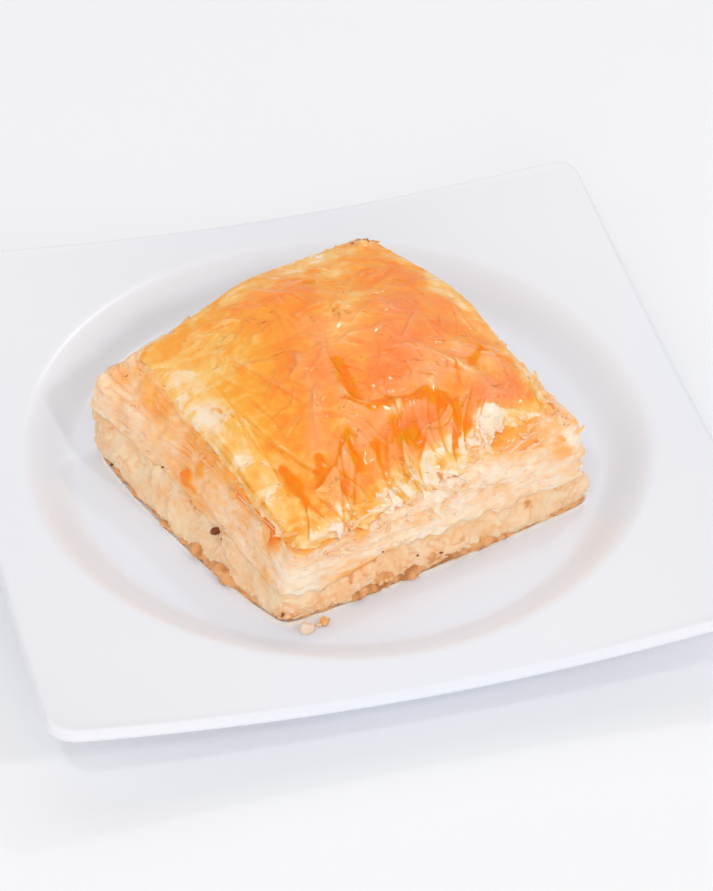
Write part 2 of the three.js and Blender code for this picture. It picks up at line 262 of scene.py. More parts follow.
def on_level(level, angle, share=1.0):
    """Distance out from the pastry's axis, direction, and height above the well's floor."""
    x, y = laid_out(level, *in_square(angle, share))
    dx, dy = x - AXIS[0], y - AXIS[1]
    return np.hypot(dx, dy), np.arctan2(dy, dx), station(level["heights"], angle)


def placed(out, way, height):
    """Points at a distance and direction from the pastry's axis, and a height above the well's floor."""
    x, y = AXIS[0] + out * np.cos(way), AXIS[1] + out * np.sin(way)
    return np.stack(np.broadcast_arrays(x, y, WELL_HEIGHT + height), -1)


def between(a, b, share):
    """A blend of two such distances, directions and heights, which turns the shorter way round."""
    turn = (b[1] - a[1] + 3 * np.pi) % (2 * np.pi) - np.pi
    return mix(a[0], b[0], share), a[1] + share * turn, mix(a[2], b[2], share)


def boundary(angle, share=1.0, lift=0.0):
    """The wavy, ragged boundary between custard and sheets, evening out to a plane towards the
    middle. Its raggedness is sines of 19 and 47 waves whose phases sway round the outline."""
    out, way, height = on_level(CUSTARD, angle, share)
    wave = CUSTARD_WAVE * (0.7 * wobble(angle, 3) + 0.5 * np.sin(2 * angle + 2.6))
    wave = wave + 0.8 * np.sin(19 * angle + 3 * np.sin(5 * angle))
    wave = wave + 0.5 * np.sin(47 * angle + 3 * np.sin(11 * angle))
    return out, way, mix(CUSTARD_MIDDLE, height + wave, ease(0.6, 0.8, share)) + lift


def seam(points):
    """How far out, in mm, custard and sheets both stand where they meet."""
    return 0.4 + 0.8 * noise(points, 8, 27) + 0.5 * noise(points, 2.6, 28)


def along_line(p, q, line):
    """Distance in mm from a bent line on the top sheet's square, below zero on its right, and the
    share along the line."""
    points = np.asarray(line, float)
    lengths = np.hypot(*np.diff(points, axis=0).T)
    before = np.concatenate([[0], np.cumsum(lengths)])
    away, share = np.full(np.shape(p), 1e9), np.zeros(np.shape(p))
    for (x0, y0), (x1, y1), length, start in zip(points, points[1:], lengths, before):
        dx, dy = x1 - x0, y1 - y0
        part = np.clip(((p - x0) * dx + (q - y0) * dy) / length**2, 0, 1)
        near = np.hypot(p - x0 - part * dx, q - y0 - part * dy) * SHEET_HALF
        side = np.where(dx * (q - y0) - dy * (p - x0) < 0, -near, near)
        closer = near < np.abs(away)
        share = np.where(closer, (start + part * length) / before[-1], share)
        away = np.where(closer, side, away)
    return away, share


def crest(p, q, line, width):
    """Cross-section exp(-(d/w)^1.3), sharp at the crest, fading out to both ends of the line."""
    away, share = along_line(p, q, line)
    return np.exp(-((np.abs(away) / width) ** 1.3)) * (1 - (2 * share - 1) ** 4 * 0.75)


def fold(p, q, line, width):
    """Cross-section exp(-d/w) on the line's left and exp(-3d/w) on its right, as of a sheet pushed
    over, fading out to both ends, and the shade along the foot of its steep side."""
    away, share = along_line(p, q, line)
    fade = 1 - (2 * share - 1) ** 4
    foot = np.exp(-(((away + 0.7 * width) / (0.35 * width)) ** 2))
    return np.exp(-np.where(away > 0, away, -3 * away) / width) * fade, foot * fade


def unit(vectors):
    """The same directions with a length of one."""
    return vectors / np.linalg.norm(vectors, axis=-1, keepdims=True)


def noise(points, size, seed, octaves=1):
    """Gradient noise, about -1 to 1: a random slope on each point of a lattice, and between them the
    slopes' heights blended with 6t^5-15t^4+10t^3. Each octave is half as large and half as high."""
    rng = np.random.default_rng(seed)
    slopes = unit(rng.normal(size=(SLOPES, 3)))
    shift = rng.uniform(0, 1000, 3)
    total = 0
    for octave in range(octaves):
        q = (points + shift) / (size / 2**octave)
        cell = np.floor(q).astype(np.int64)
        part = q - cell
        blend = part**3 * (part * (part * 6 - 15) + 10)
        for corner in np.ndindex(2, 2, 2):
            at = cell + corner
            pick = (at[..., 0] * 73856093 ^ at[..., 1] * 19349663 ^ at[..., 2] * 83492791) % SLOPES
            lean = ((part - corner) * slopes[pick]).sum(-1)
            weight = np.prod(np.where(corner, blend, 1 - blend), -1)
            total = total + 1.5 * lean * weight * 0.5**octave
    return total


def strata(points, length, depth, seed):
    """Noise drawn out along the layers: features of that length level and that depth upright."""
    return noise(points * (1, 1, length / depth), length, seed)


def flat(p, q):
    """Places on the top sheet's square as points in space, in mm."""
    return np.stack(np.broadcast_arrays(p * SHEET_HALF, q * SHEET_HALF, 0.0 * p), -1)


def spots(points, lumps):
    """Height and bake of soft lumps: their amounts times exp(-(d/r)^4)."""
    height, bake = 0, 0
    for place, radius, rise, tone in lumps:
        near = np.exp(-((np.linalg.norm(points - place, axis=-1) / radius) ** 4))
        height, bake = height + rise * near, bake + tone * near
    return height, bake


def quads(points, a, b, c, d):
    """Two triangles for each face a b c d, split on its shorter diagonal."""
    a, b, c, d = (np.asarray(i).ravel() for i in (a, b, c, d))
    short = np.linalg.norm(points[a] - points[c], axis=1) < np.linalg.norm(points[b] - points[d], axis=1)
    first = np.where(short, c, d)
    second = np.where(short, a, b)
    return np.concatenate([np.stack([a, b, first], 1), np.stack([second, c, d], 1)])


def grid_outline(n):
    """Rows and columns of a square grid's outline, anticlockwise from the middle of its right side."""
    step, none, last = np.arange(n), np.zeros(n, int), np.full(n, n)
    rows = np.concatenate([last, n - step, none, step])
    columns = np.concatenate([step, last, n - step, none])
    return np.roll(rows, -(n // 2)), np.roll(columns, -(n // 2))


def rowed(places, *values):
    """Rows of x, y, z and attributes, each attribute an array or one number for all the places."""
    values = [np.broadcast_to(value, places.shape[:-1]) for value in values]
    return np.concatenate([places, np.stack(values, -1)], -1)


def skin(low, rings, high=None, grid=None):
    """One closed surface: a pole, rings running round anticlockwise outwards from it, and then a pole
    or a square grid whose outline is the last ring. Rows hold x, y, z and the attributes."""
    count, columns, width = rings.shape
    rows = np.concatenate([np.reshape(low, (1, width)), rings.reshape(-1, width)])
    at = 1 + np.arange(count * columns).reshape(count, columns)
    after = np.roll(at, -1, 1)
    if grid is None:
        rows = np.concatenate([rows, np.reshape(high, (1, width))])
    else:
        place = np.full((len(grid), len(grid)), -1)
        place[grid_outline(len(grid) - 1)] = at[-1]
        inner = place < 0
        place[inner] = len(rows) + np.arange(inner.sum())
        rows = np.concatenate([rows, grid[inner]])
    points = rows[:, :3]
    faces = [np.stack([np.zeros(columns, int), after[0], at[0]], 1)]
    faces.append(quads(points, at[:-1], after[:-1], after[1:], at[1:]))
    if grid is None:
        faces.append(np.stack([at[-1], after[-1], np.full(columns, len(rows) - 1)], 1))
    else:
        faces.append(quads(points, place[:-1, :-1], place[1:, :-1], place[1:, 1:], place[:-1, 1:]))
    return rows, np.concatenate(faces)


def loops(rows):
    """Closed surfaces from profiles that close on themselves, carried round a closed outline. The
    array holds profile points, then places round the outline, then x, y, z and the attributes."""
    count, columns, width = rows.shape
    at = np.arange(count * columns).reshape(count, columns)
    after, up = np.roll(at, -1, 1), np.roll(at, -1, 0)
    rows = rows.reshape(-1, width)
    return rows, quads(rows[:, :3], at, after, np.roll(after, -1, 0), up)


def joined(parts):
    """Several meshes as one: rows and faces one after the other."""
    starts = np.cumsum([0] + [len(rows) for rows, _ in parts])
    faces = [part + start for (_, part), start in zip(parts, starts)]
    return np.concatenate([rows for rows, _ in parts]), np.concatenate(faces)


def bodies(shapes, tones):
    """Many small closed bodies, from arrays of rings, low poles and high poles whose first index is
    the body's, and each body's own attributes."""
    rings, low, high = shapes
    tones = np.reshape(tones, (len(rings), -1)).astype(float)
    spread = np.broadcast_to(tones[:, None, None], (*rings.shape[:3], tones.shape[1]))
    rings = np.concatenate([rings, spread], -1)
    low, high = (np.concatenate([end, tones], 1) for end in (low, high))
    return joined([skin(*body) for body in zip(low, rings, high)])


def piece(name, rows, faces, material, slot, names=(), replaces=()):
    """Makes the object from rows of x, y, z and attributes, turned so that its volume is above zero.
    Attributes are held between 0 and 1, and the blush between -1 and 1."""
    points = rows[:, :3] * MM
    a, b, c = (points[faces[:, i]] for i in range(3))
    if np.einsum("ij,ij->i", a, np.cross(b, c)).sum() < 0:
        faces = faces[:, ::-1]
    mesh = bpy.data.meshes.new(name)
    mesh.vertices.add(len(points))
    mesh.vertices.foreach_set("co", points.astype(np.float32).ravel())
    mesh.loops.add(faces.size)
    mesh.loops.foreach_set("vertex_index", faces.astype(np.int32).ravel())
    mesh.polygons.add(len(faces))
    mesh.polygons.foreach_set("loop_start", np.arange(0, faces.size, 3, dtype=np.int32))
    mesh.update(calc_edges=True)
    mesh.validate()
    mesh.polygons.foreach_set("use_smooth", np.ones(len(faces), bool))
    for i, attribute in enumerate(names):
        layer = mesh.attributes.new(attribute, "FLOAT", "POINT")
        lowest = -1 if attribute == "blush" else 0
        layer.data.foreach_set("value", np.clip(rows[:, 3 + i], lowest, 1).astype(np.float32))
    mesh.materials.append(material)
    thing = bpy.data.objects.new(name, mesh)
    bpy.context.scene.collection.objects.link(thing)
    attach(thing, BODY)
    if replaces:
        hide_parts(*replaces)


def linear(code):
    """An sRGB hex colour as linear red, green and blue."""
    values = np.array([int(code[i : i + 2], 16) for i in (1, 3, 5)]) / 255
    return tuple(np.where(values <= 0.04045, values / 12.92, ((values + 0.055) / 1.055) ** 2.4))


def add(tree, kind, inputs=None, out=0, stops=(), **settings):
    """Adds a shader node with its settings, ramp stops and inputs, each a value, a colour or another
    node's output, and gives back one output, or the node where it has none."""
    node = tree.nodes.new("ShaderNode" + kind)
    for key, value in settings.items():
        setattr(node, key, value)
    for place, value in stops:
        element = node.color_ramp.elements[-1] if place == 1 else node.color_ramp.elements[0]
        if 0 < place < 1:
            element = node.color_ramp.elements.new(place)
        element.color = (*value, 1)
    for key, value in (inputs or {}).items():
        socket = node.inputs[key]
        if isinstance(value, bpy.types.NodeSocket):
            tree.links.new(value, socket)
        else:
            socket.default_value = (*value[:3], 1) if socket.type == "RGBA" else value
    return node.outputs[out] if len(node.outputs) else node


def new_material(name):
    """A material with that name and its empty node tree."""
    material = bpy.data.materials.new(name)
    material.use_nodes = True
    material.node_tree.nodes.clear()
    return material, material.node_tree


def finished(tree, inputs):
    """Ends a material's tree in one shader with these inputs."""
    add(tree, "OutputMaterial", {"Surface": add(tree, "BsdfPrincipled", inputs)})


class BorekSizes(bpy.types.PropertyGroup):
    """Sizes of the fine relief and of the thin pieces"""

    wrinkle: bpy.props.FloatProperty(
        name="Wrinkle height", description="Height of the top sheet's sharpest small folds",
        default=0.001, unit="LENGTH", subtype="DISTANCE")
    ledge: bpy.props.FloatProperty(
        name="Ledge depth", description="How far a layer's edge stands out at the sides",
        default=0.0009, unit="LENGTH", subtype="DISTANCE")
    leaf: bpy.props.FloatProperty(
        name="Leaf thickness", description="Thickness of a loose leaf of pastry",
        default=0.00035, unit="LENGTH", subtype="DISTANCE")
    lump: bpy.props.FloatProperty(
        name="Custard lumps", description="Height of the lumps on the custard's side",
        default=0.0008, unit="LENGTH", subtype="DISTANCE")
    film: bpy.props.FloatProperty(
        name="Syrup film", description="Thickness of the syrup round the base",
        default=0.0005, unit="LENGTH", subtype="DISTANCE")


def swatch(name, description, code):
    """A colour property whose default is an sRGB hex colour."""
    return bpy.props.FloatVectorProperty(
        name=name, description=description, default=linear(code), size=3, min=0, max=1, subtype="COLOR")


class BorekColours(bpy.types.PropertyGroup):
    """Colours of the finishes"""

    cream: swatch("Cream", "Palest sheets", "#FFEAD2")
    pale: swatch("Pale yellow", "Lightly baked top", "#FFC878")
    golden: swatch("Golden", "Baked top", "#FFA63C")
    orange: swatch("Orange", "Well baked top", "#FF8E30")
    deep: swatch("Deep orange", "Most baked top", "#FF7C26")
    syrup: swatch("Syrup", "Where syrup has gathered", "#FF8200")
    honey: swatch("Honey", "Thin edge of gathered syrup", "#EE9400")
    gold: swatch("Gold", "Syrup in the side's crevices", "#FFA62E")
    blush: swatch("Blush", "Peach-coloured ridges of the baked top", "#FFA56E")
    straw: swatch("Straw", "Straw-yellow parts of the baked top", "#FFB828")
    peach: swatch("Peach", "Soaked sheets of the sides", "#FFBE7C")
    # Its colour also paints the shade at the top's fold feet.
    crease: swatch("Crease", "Thin browned creases", "#B4621C")
    burnt: swatch("Burnt", "Burnt tips and specks", "#6A3418")
    custard: swatch("Custard", "Custard", "#FCDAB4")
    custard_shade: swatch("Custard shade", "Wetter custard", "#F6C898")
    base: swatch("Browned base", "Base of the pastry", "#F6B476")
    base_dark: swatch("Dark base", "Darkest parts of the base", "#BE783A")
    porcelain: swatch("Porcelain", "Plate", "#F5F5FA")
    # A cool tint painted in the plate's well against the warm light that the pastry throws into it.
    glaze: swatch("Thick glaze", "Glaze in the plate's well", "#ECF1FB")
    bisque: swatch("Foot ring", "Unglazed foot of the plate", "#E8E2D8")
    floor: swatch("Floor", "Studio floor", "#F0F0F2")
    film: swatch("Syrup film", "Syrup run off on the plate", "#FBEBD2")


class BorekStage(bpy.types.PropertyGroup):
    """Strength of the stage's light"""

    lights: bpy.props.FloatProperty(
        name="Lights", description="Strength of all the lamps together", default=0.94, subtype="FACTOR")
    room: bpy.props.FloatProperty(
        name="Room light", description="Strength of the white surroundings", default=0.41, subtype="FACTOR")
    glow: bpy.props.FloatProperty(
        name="Floor glow", description="Light of its own that fills the floor's shadows", default=0.12,
        subtype="FACTOR")


# How dark the faint clouds of a white surface are.
CLOUDED = 0.985


def porcelain(colours):
    """Glazed porcelain, cast, glazed clear and fired: a hard smooth white with soft waves in its
    reflections and a bare matte foot ring. Its well is painted a little cooler, against the warm light
    that the pastry throws into it."""
    material, tree = new_material("glazed_porcelain")
    coords = add(tree, "TexCoord", out="Object")
    height = add(tree, "SeparateXYZ", {"Vector": coords}, out="Z")
    cloud = add(tree, "TexNoise", {"Vector": coords, "Scale": 1 / (33 * MM), "Detail": 2.0})
    # The well's share, where a cooler tint is painted against the pastry's warm bounce light.
    well = add(tree, "MapRange", {"Value": height, "From Min": 21 * MM, "From Max": 13 * MM})
    bare = add(tree, "MapRange", {"Value": height, "From Min": 1.6 * MM, "From Max": 0.8 * MM})
    tint, darker = colours.porcelain, [c * CLOUDED for c in colours.porcelain]
    for share, colour in ((cloud, darker), (well, colours.glaze), (bare, colours.bisque)):
        tint = add(tree, "Mix", {0: share, 6: tint, 7: colour}, out=2, data_type="RGBA")
    rough = add(tree, "MapRange", {"Value": bare, "To Min": 0.28, "To Max": 0.6})
    wave = add(tree, "TexNoise", {"Vector": coords, "Scale": 1 / (9 * MM), "Detail": 1.0})
    bump = add(tree, "Bump", {"Height": wave, "Strength": 0.12, "Distance": 0.2 * MM})
    finished(tree, {"Base Color": tint, "Roughness": rough, "IOR": 1.5, "Normal": bump})
    return material


# What the skin's mesh carries for its finish besides its place. A blush above zero is peach, and one
# below zero is straw yellow.
SKIN_ROWS = ("bake", "syrup", "crease", "blush")

# Where the skin's outermost film ends, as a value of the noise that tears it.
TORN = 0.495


def pastry(colours, name, side):
    """Egg-washed phyllo, baked and soaked in syrup: a thin skin that goes from cream to deep orange
    with its bake, peach on its ridges and straw yellow in parts. It is glossier and more amber where
    syrup lies, which thins out to honey yellow at its edges. Its outermost films are torn off in
    places, which leaves crisp patches with hair-fine brown edges, and a few specks are burnt. On
    the sides it is calmer, and all of this is drawn out along the layers."""
    if side:
        uneven, stretch, grains, depth, dry, soft, coat = 0.06, (1, 1, 4), 5, 0.4, 0.42, 0.35, 0.3
        baked = (0, colours.cream), (0.45, colours.peach), (0.75, colours.golden), (1, colours.orange)
    else:
        uneven, stretch, grains, depth, dry, soft, coat = 0.09, (0.55, 1.3, 1), 1.6, 0.3, 0.34, 0.22, 0.6
        shades = colours.cream, colours.pale, colours.golden, colours.orange, colours.deep
        baked = tuple(zip((0, 0.25, 0.5, 0.75, 1), shades))
    material, tree = new_material(name)
    coords = add(tree, "TexCoord", out="Object")
    # The crease attribute holds brown creases and the burnt tip, and on the top the painted shade at the
    # folds' feet.
    bake, syrup, crease, blush = (
        add(tree, "Attribute", out="Fac", attribute_name=key) for key in SKIN_ROWS)
    # The bake, with its mottle and its torn films.
    mottle = add(tree, "TexNoise", {"Vector": coords, "Scale": 1 / (2.6 * MM), "Detail": 4.0})
    mottle = add(tree, "MapRange", {
        "Value": mottle, "From Min": 0.3, "From Max": 0.7, "To Min": -uneven, "To Max": uneven})
    layers = add(tree, "Mapping", {"Vector": coords, "Scale": stretch})
    torn = add(tree, "TexNoise", {
        "Vector": layers, "Scale": 1 / (9 * MM), "Detail": 3.0, "Roughness": 0.55, "Distortion": 1.0})
    step = uneven / 1.5
    film = add(tree, "MapRange", {
        "Value": torn, "From Min": TORN, "From Max": 0.51, "To Min": -step, "To Max": step})
    share = add(tree, "Math", {0: bake, 1: mottle}, operation="ADD")
    share = add(tree, "Math", {0: share, 1: film}, operation="ADD")
    # Brown edges of the films, in some places only, and the specks.
    rim = add(tree, "Math", {0: torn, 1: TORN, 2: 0.006}, operation="COMPARE")
    where = add(tree, "TexNoise", {"Vector": coords, "Scale": 1 / (6 * MM), "Detail": 1.0})
    where = add(tree, "MapRange", {"Value": where, "From Min": 0.51, "From Max": 0.58, "To Max": 0.5})
    rim = add(tree, "Math", {0: rim, 1: where}, operation="MULTIPLY")
    speck = add(tree, "TexNoise", {"Vector": coords, "Scale": 1 / (1.5 * MM), "Detail": 0.0})
    speck = add(tree, "MapRange", {"Value": speck, "From Min": 0.86, "From Max": 0.9, "To Max": 0.8})
    for mark in (rim, speck):
        crease = add(tree, "Math", {0: crease, 1: mark}, operation="MAXIMUM")
    # The colours, one laid over another.
    pool = colours.gold
    if not side:
        thin = add(tree, "TexNoise", {"Vector": coords, "Scale": 1 / (5 * MM), "Detail": 2.0})
        thin = add(tree, "Math", {0: syrup, 1: -0.45, 2: thin}, operation="MULTIPLY_ADD")
        thin = add(tree, "MapRange", {"Value": thin, "From Min": 0.02, "From Max": 0.2})
        pool = add(tree, "Mix", {0: thin, 6: colours.syrup, 7: colours.honey}, out=2, data_type="RGBA")
    yellow = add(tree, "MapRange", {"Value": blush, "From Min": 0.0, "From Max": -0.5, "To Max": 0.5})
    coats = (blush, colours.blush), (yellow, colours.straw), (syrup, pool), (crease, colours.crease)
    tint = add(tree, "ValToRGB", {"Fac": share}, stops=baked)
    for amount, colour in coats:
        tint = add(tree, "Mix", {0: amount, 6: tint, 7: colour}, out=2, data_type="RGBA")
    # The relief of grain and films, and the gloss.
    grain = add(tree, "TexNoise", {
        "Vector": layers, "Scale": 1 / (grains * MM), "Detail": 5.0, "Roughness": 0.62})
    height = add(tree, "Math", {0: film, 1: 4.0, 2: grain}, operation="MULTIPLY_ADD")
    bump = add(tree, "Bump", {"Height": height, "Strength": depth, "Distance": 0.3 * MM})
    rough = add(tree, "MapRange", {"Value": syrup, "To Min": dry, "To Max": 0.1})
    # The emission is painted light: the skin glows faintly in its own colour, which lifts its shadows.
    finished(tree, {
        "Base Color": tint, "Emission Color": tint, "Emission Strength": 0.08, "Roughness": rough,
        "IOR": 1.45, "Specular IOR Level": 0.2, "Subsurface Weight": soft,
        "Subsurface Radius": (1.0, 0.5, 0.22), "Subsurface Scale": 2.2 * MM, "Coat Weight": coat,
        "Coat Roughness": 0.07, "Normal": bump})
    return material


def custard_finish(colours):
    """Set semolina custard, baked and soaked: soft, wet and slightly see-through, paler in its
    lumps and tanned where it met the pan."""
    material, tree = new_material("set_custard")
    coords = add(tree, "TexCoord", out="Object")
    bake = add(tree, "Attribute", out="Fac", attribute_name="bake")
    cloud = add(tree, "TexNoise", {"Vector": coords, "Scale": 1 / (7 * MM), "Detail": 5.0})
    cloud = add(tree, "MapRange", {"Value": cloud, "From Min": 0.36, "From Max": 0.6})
    crust = add(tree, "MapRange", {"Value": bake, "From Min": 0.6, "To Max": 0.5})
    tint = colours.custard_shade
    for share, colour in ((cloud, colours.custard), (bake, colours.base), (crust, colours.base_dark)):
        tint = add(tree, "Mix", {0: share, 6: tint, 7: colour}, out=2, data_type="RGBA")
    grain = add(tree, "TexNoise", {"Vector": coords, "Scale": 1 / (1.1 * MM), "Detail": 3.0})
    bump = add(tree, "Bump", {"Height": grain, "Strength": 0.3, "Distance": 0.25 * MM})
    # The emission is painted light: the custard glows faintly in its own colour, which lifts its shadows.
    finished(tree, {
        "Base Color": tint, "Emission Color": tint, "Emission Strength": 0.05, "Roughness": 0.24,
        "IOR": 1.42, "Specular IOR Level": 0.35, "Subsurface Weight": 0.5,
        "Subsurface Radius": (1.0, 0.6, 0.32), "Subsurface Scale": 3 * MM, "Normal": bump})
    return material


def browned(name, low, high, size):
    """Phyllo browned on the pan, or a toasted crumb or nut: grainy, in two browns."""
    material, tree = new_material(name)
    coords = add(tree, "TexCoord", out="Object")
    bake = add(tree, "Attribute", out="Fac", attribute_name="bake")
    cloud = add(tree, "TexNoise", {"Vector": coords, "Scale": 1 / (size * MM), "Detail": 4.0})
    cloud = add(tree, "MapRange", {
        "Value": cloud, "From Min": 0.3, "From Max": 0.7, "To Min": -0.28, "To Max": 0.28})
    share = add(tree, "Math", {0: bake, 1: cloud}, operation="ADD", use_clamp=True)
    tint = add(tree, "Mix", {0: share, 6: low, 7: high}, out=2, data_type="RGBA")
    bump = add(tree, "Bump", {"Height": cloud, "Strength": 0.3, "Distance": 0.3 * MM})
    finished(tree, {
        "Base Color": tint, "Roughness": 0.36, "IOR": 1.45, "Subsurface Weight": 0.3,
        "Subsurface Radius": (1.0, 0.5, 0.25), "Subsurface Scale": 1.5 * MM, "Normal": bump})
    return material


def syrup_finish(colours):
    """Clear sugar syrup, run off and set: a thin wet film that lets the plate show through, almost
    without colour, with mirror-sharp glints."""
    material, tree = new_material("clear_syrup")
    coords = add(tree, "TexCoord", out="Object")
    wave = add(tree, "TexNoise", {"Vector": coords, "Scale": 1 / (4 * MM), "Detail": 1.0})
    paler = [mix(c, 1, 0.4) for c in colours.film]
    tint = add(tree, "Mix", {0: wave, 6: colours.film, 7: paler}, out=2, data_type="RGBA")
    bump = add(tree, "Bump", {"Height": wave, "Strength": 0.6, "Distance": 0.4 * MM})
    # The emission is painted light: the film glows faintly, which draws a light rim round the base.
    finished(tree, {
        "Base Color": tint, "Emission Color": tint, "Emission Strength": 0.3, "Roughness": 0.05,
        "IOR": 1.45, "Alpha": 0.3, "Subsurface Weight": 0.3, "Subsurface Scale": 1 * MM, "Normal": bump})
    return material


def studio_board(colours, glow):
    """Painted studio board, rolled in matte white: an even pale floor with hardly a cloud in it,
    and a light of its own that fills its shadows."""
    material, tree = new_material("painted_studio_board")
    coords = add(tree, "TexCoord", out="Object")
    cloud = add(tree, "TexNoise", {"Vector": coords, "Scale": 3.0, "Detail": 2.0})
    darker = [c * CLOUDED for c in colours.floor]
    tint = add(tree, "Mix", {0: cloud, 6: colours.floor, 7: darker}, out=2, data_type="RGBA")
    finished(tree, {
        "Base Color": tint, "Roughness": 0.6, "Emission Color": colours.floor, "Emission Strength": glow})
    return material


class MESH_OT_borek_plate(bpy.types.Operator):
    """Build the porcelain plate"""

    bl_idname = "mesh.borek_plate"
    bl_label = "Plate"

    def execute(self, context):
        """Rings from the foot out, under the rim, round the lip and in to the well. A side bows out
        by 1.2(1-u^2). The rim's top is 18.5 + 7.8(x/110)^2(y/110)^2, and the well's wall eases from
        the floor up to it with 3t^2-2t^3."""
        side, corner = 90, 14
        u = -1 + 2 * np.arange(side) / side
        turn = np.pi / 2 * np.arange(corner) / corner
        straight = PLATE_HALF - PLATE_CORNER
        x = np.concatenate([PLATE_HALF + PLATE_BULGE * (1 - u * u), straight + PLATE_CORNER * np.cos(turn)])
        y = np.concatenate([u * straight, straight + PLATE_CORNER * np.sin(turn)])
        quarter = [(x, y), (-y, x), (-x, -y), (y, -x)]
        x, y = (np.concatenate([part[i] for part in quarter]) for i in (0, 1))
        far = np.hypot(x, y)

        def top(kx, ky):
            return RIM_HEIGHT + CORNER_LIFT * (kx / PLATE_HALF) ** 2 * (ky / PLATE_HALF) ** 2

        def row(k, height):
            return np.stack([x * k, y * k, np.broadcast_to(height, x.shape)], 1)

        def wall(share, drop):
            k = mix(WELL_RADIUS, RIM_INNER, share) / far
            return row(k, mix(WELL_HEIGHT, top(x * k, y * k), smooth(share)) - drop)

        def rim(share, drop):
            k = mix(RIM_INNER / far, 1 - LIP_ROUND / far, share)
            return row(k, top(x * k, y * k) - drop)

        rows = [row(r / far, FOOT_HEIGHT) for r in (30, FOOT_INNER - 4, FOOT_INNER - 2)]
        rows += [row(r / far, h) for r, h in (
            (FOOT_INNER - 1, 1.4), (FOOT_INNER - 0.2, 0.4), (FOOT_INNER + 1, 0), (FOOT_OUTER - 1, 0),
            (FOOT_OUTER + 0.2, 0.4), (FOOT_OUTER + 1.2, 1.5), (FOOT_OUTER + 4, 3))]
        rows += [wall(s, mix(WALL, LIP, s)) for s in (0.3, 0.45, 0.6, 0.75, 0.9)]
        rows += [rim(s, LIP) for s in (0.25, 0.5, 0.75)]
        for swing in np.linspace(-90, 90, 13):
            inset = LIP_ROUND - LIP_ROUND * np.cos(np.radians(swing))
            drop = LIP / 2 - LIP / 2 * np.sin(np.radians(swing))
            rows.append(row(1 - inset / far, top(x, y) - drop))
        rows += [rim(s, 0) for s in (0.97, 0.9, 0.8, 0.65, 0.5, 0.35, 0.2, 0.1, 0.04)]
        rows += [wall(s, 0) for s in np.linspace(1, 0, 24)]
        rows += [row(r / far, WELL_HEIGHT) for r in (78, 70, 55, 40, 20)]
        mesh = skin((0, 0, FOOT_HEIGHT), np.stack(rows), (0, 0, WELL_HEIGHT))
        finish = porcelain(context.scene.borek_colours)
        piece("porcelain_plate", *mesh, finish, "porcelain", replaces=("plate",))
        return {"FINISHED"}


class MESH_OT_borek_base(bpy.types.Operator):
    """Build the browned base"""

    bl_idname = "mesh.borek_base"
    bl_label = "Browned base"

    def execute(self, context):
        """A rounded edge carried round the base level: out(angle) plus ragged noise of 5, 2.2 and
        1 mm, and a height that rises where crust clings to the custard."""
        angle = outline_angles(260)
        out, way, _ = on_level(BASE, angle)
        place = placed(out, way, 0 * angle)
        crusty = station((-0.1, 0, 0.1, -0.4, 0.8, -0.2, 0.7, -0.6), angle)
        cling = np.clip(noise(place, 12, 11) * 2.2 + crusty, 0, 1)
        top = mix(1.3, BASE_THICKNESS + 2.0, cling)
        top = top + 0.5 * noise(place, 3, 14) + 0.35 * noise(place, 1.3, 18)
        rows = []
        for share, inset in BASE_PROFILE:
            height = mix(GAP, top, share)
            inner = placed(out, way, height)
            ragged = 0.5 * wobble(angle, 1) + 0.8 * noise(inner, 5, 12) + 0.8 * noise(inner, 2.2, 13)
            ragged = ragged + 0.4 * noise(inner, 1, 15) + 0.3 - 1.3 * (1 - cling)
            at = placed(out + ragged - inset, way, height)
            bake = 0.1 + 0.8 * noise(at, 3, 17, 2) + 0.5 * (share < 0.3) + 0.2 * ease(0.8, 1, share)
            rows.append(rowed(at, bake + spots(at, LUMPS)[1]))
        inside = 1.2
        rows.append(rowed(placed(out * 0.9, way, inside), 0.5))
        mesh = skin((*placed(0.0, 0.0, GAP), 0.8), np.stack(rows), (*placed(0.0, 0.0, inside), 0.5))
        colours = context.scene.borek_colours
        finish = browned("pan_browned_phyllo", colours.base, colours.base_dark, 3.5)
        piece("browned_base", *mesh, finish, "browned_pastry", ("bake",), ("pastry_base",))
        return {"FINISHED"}


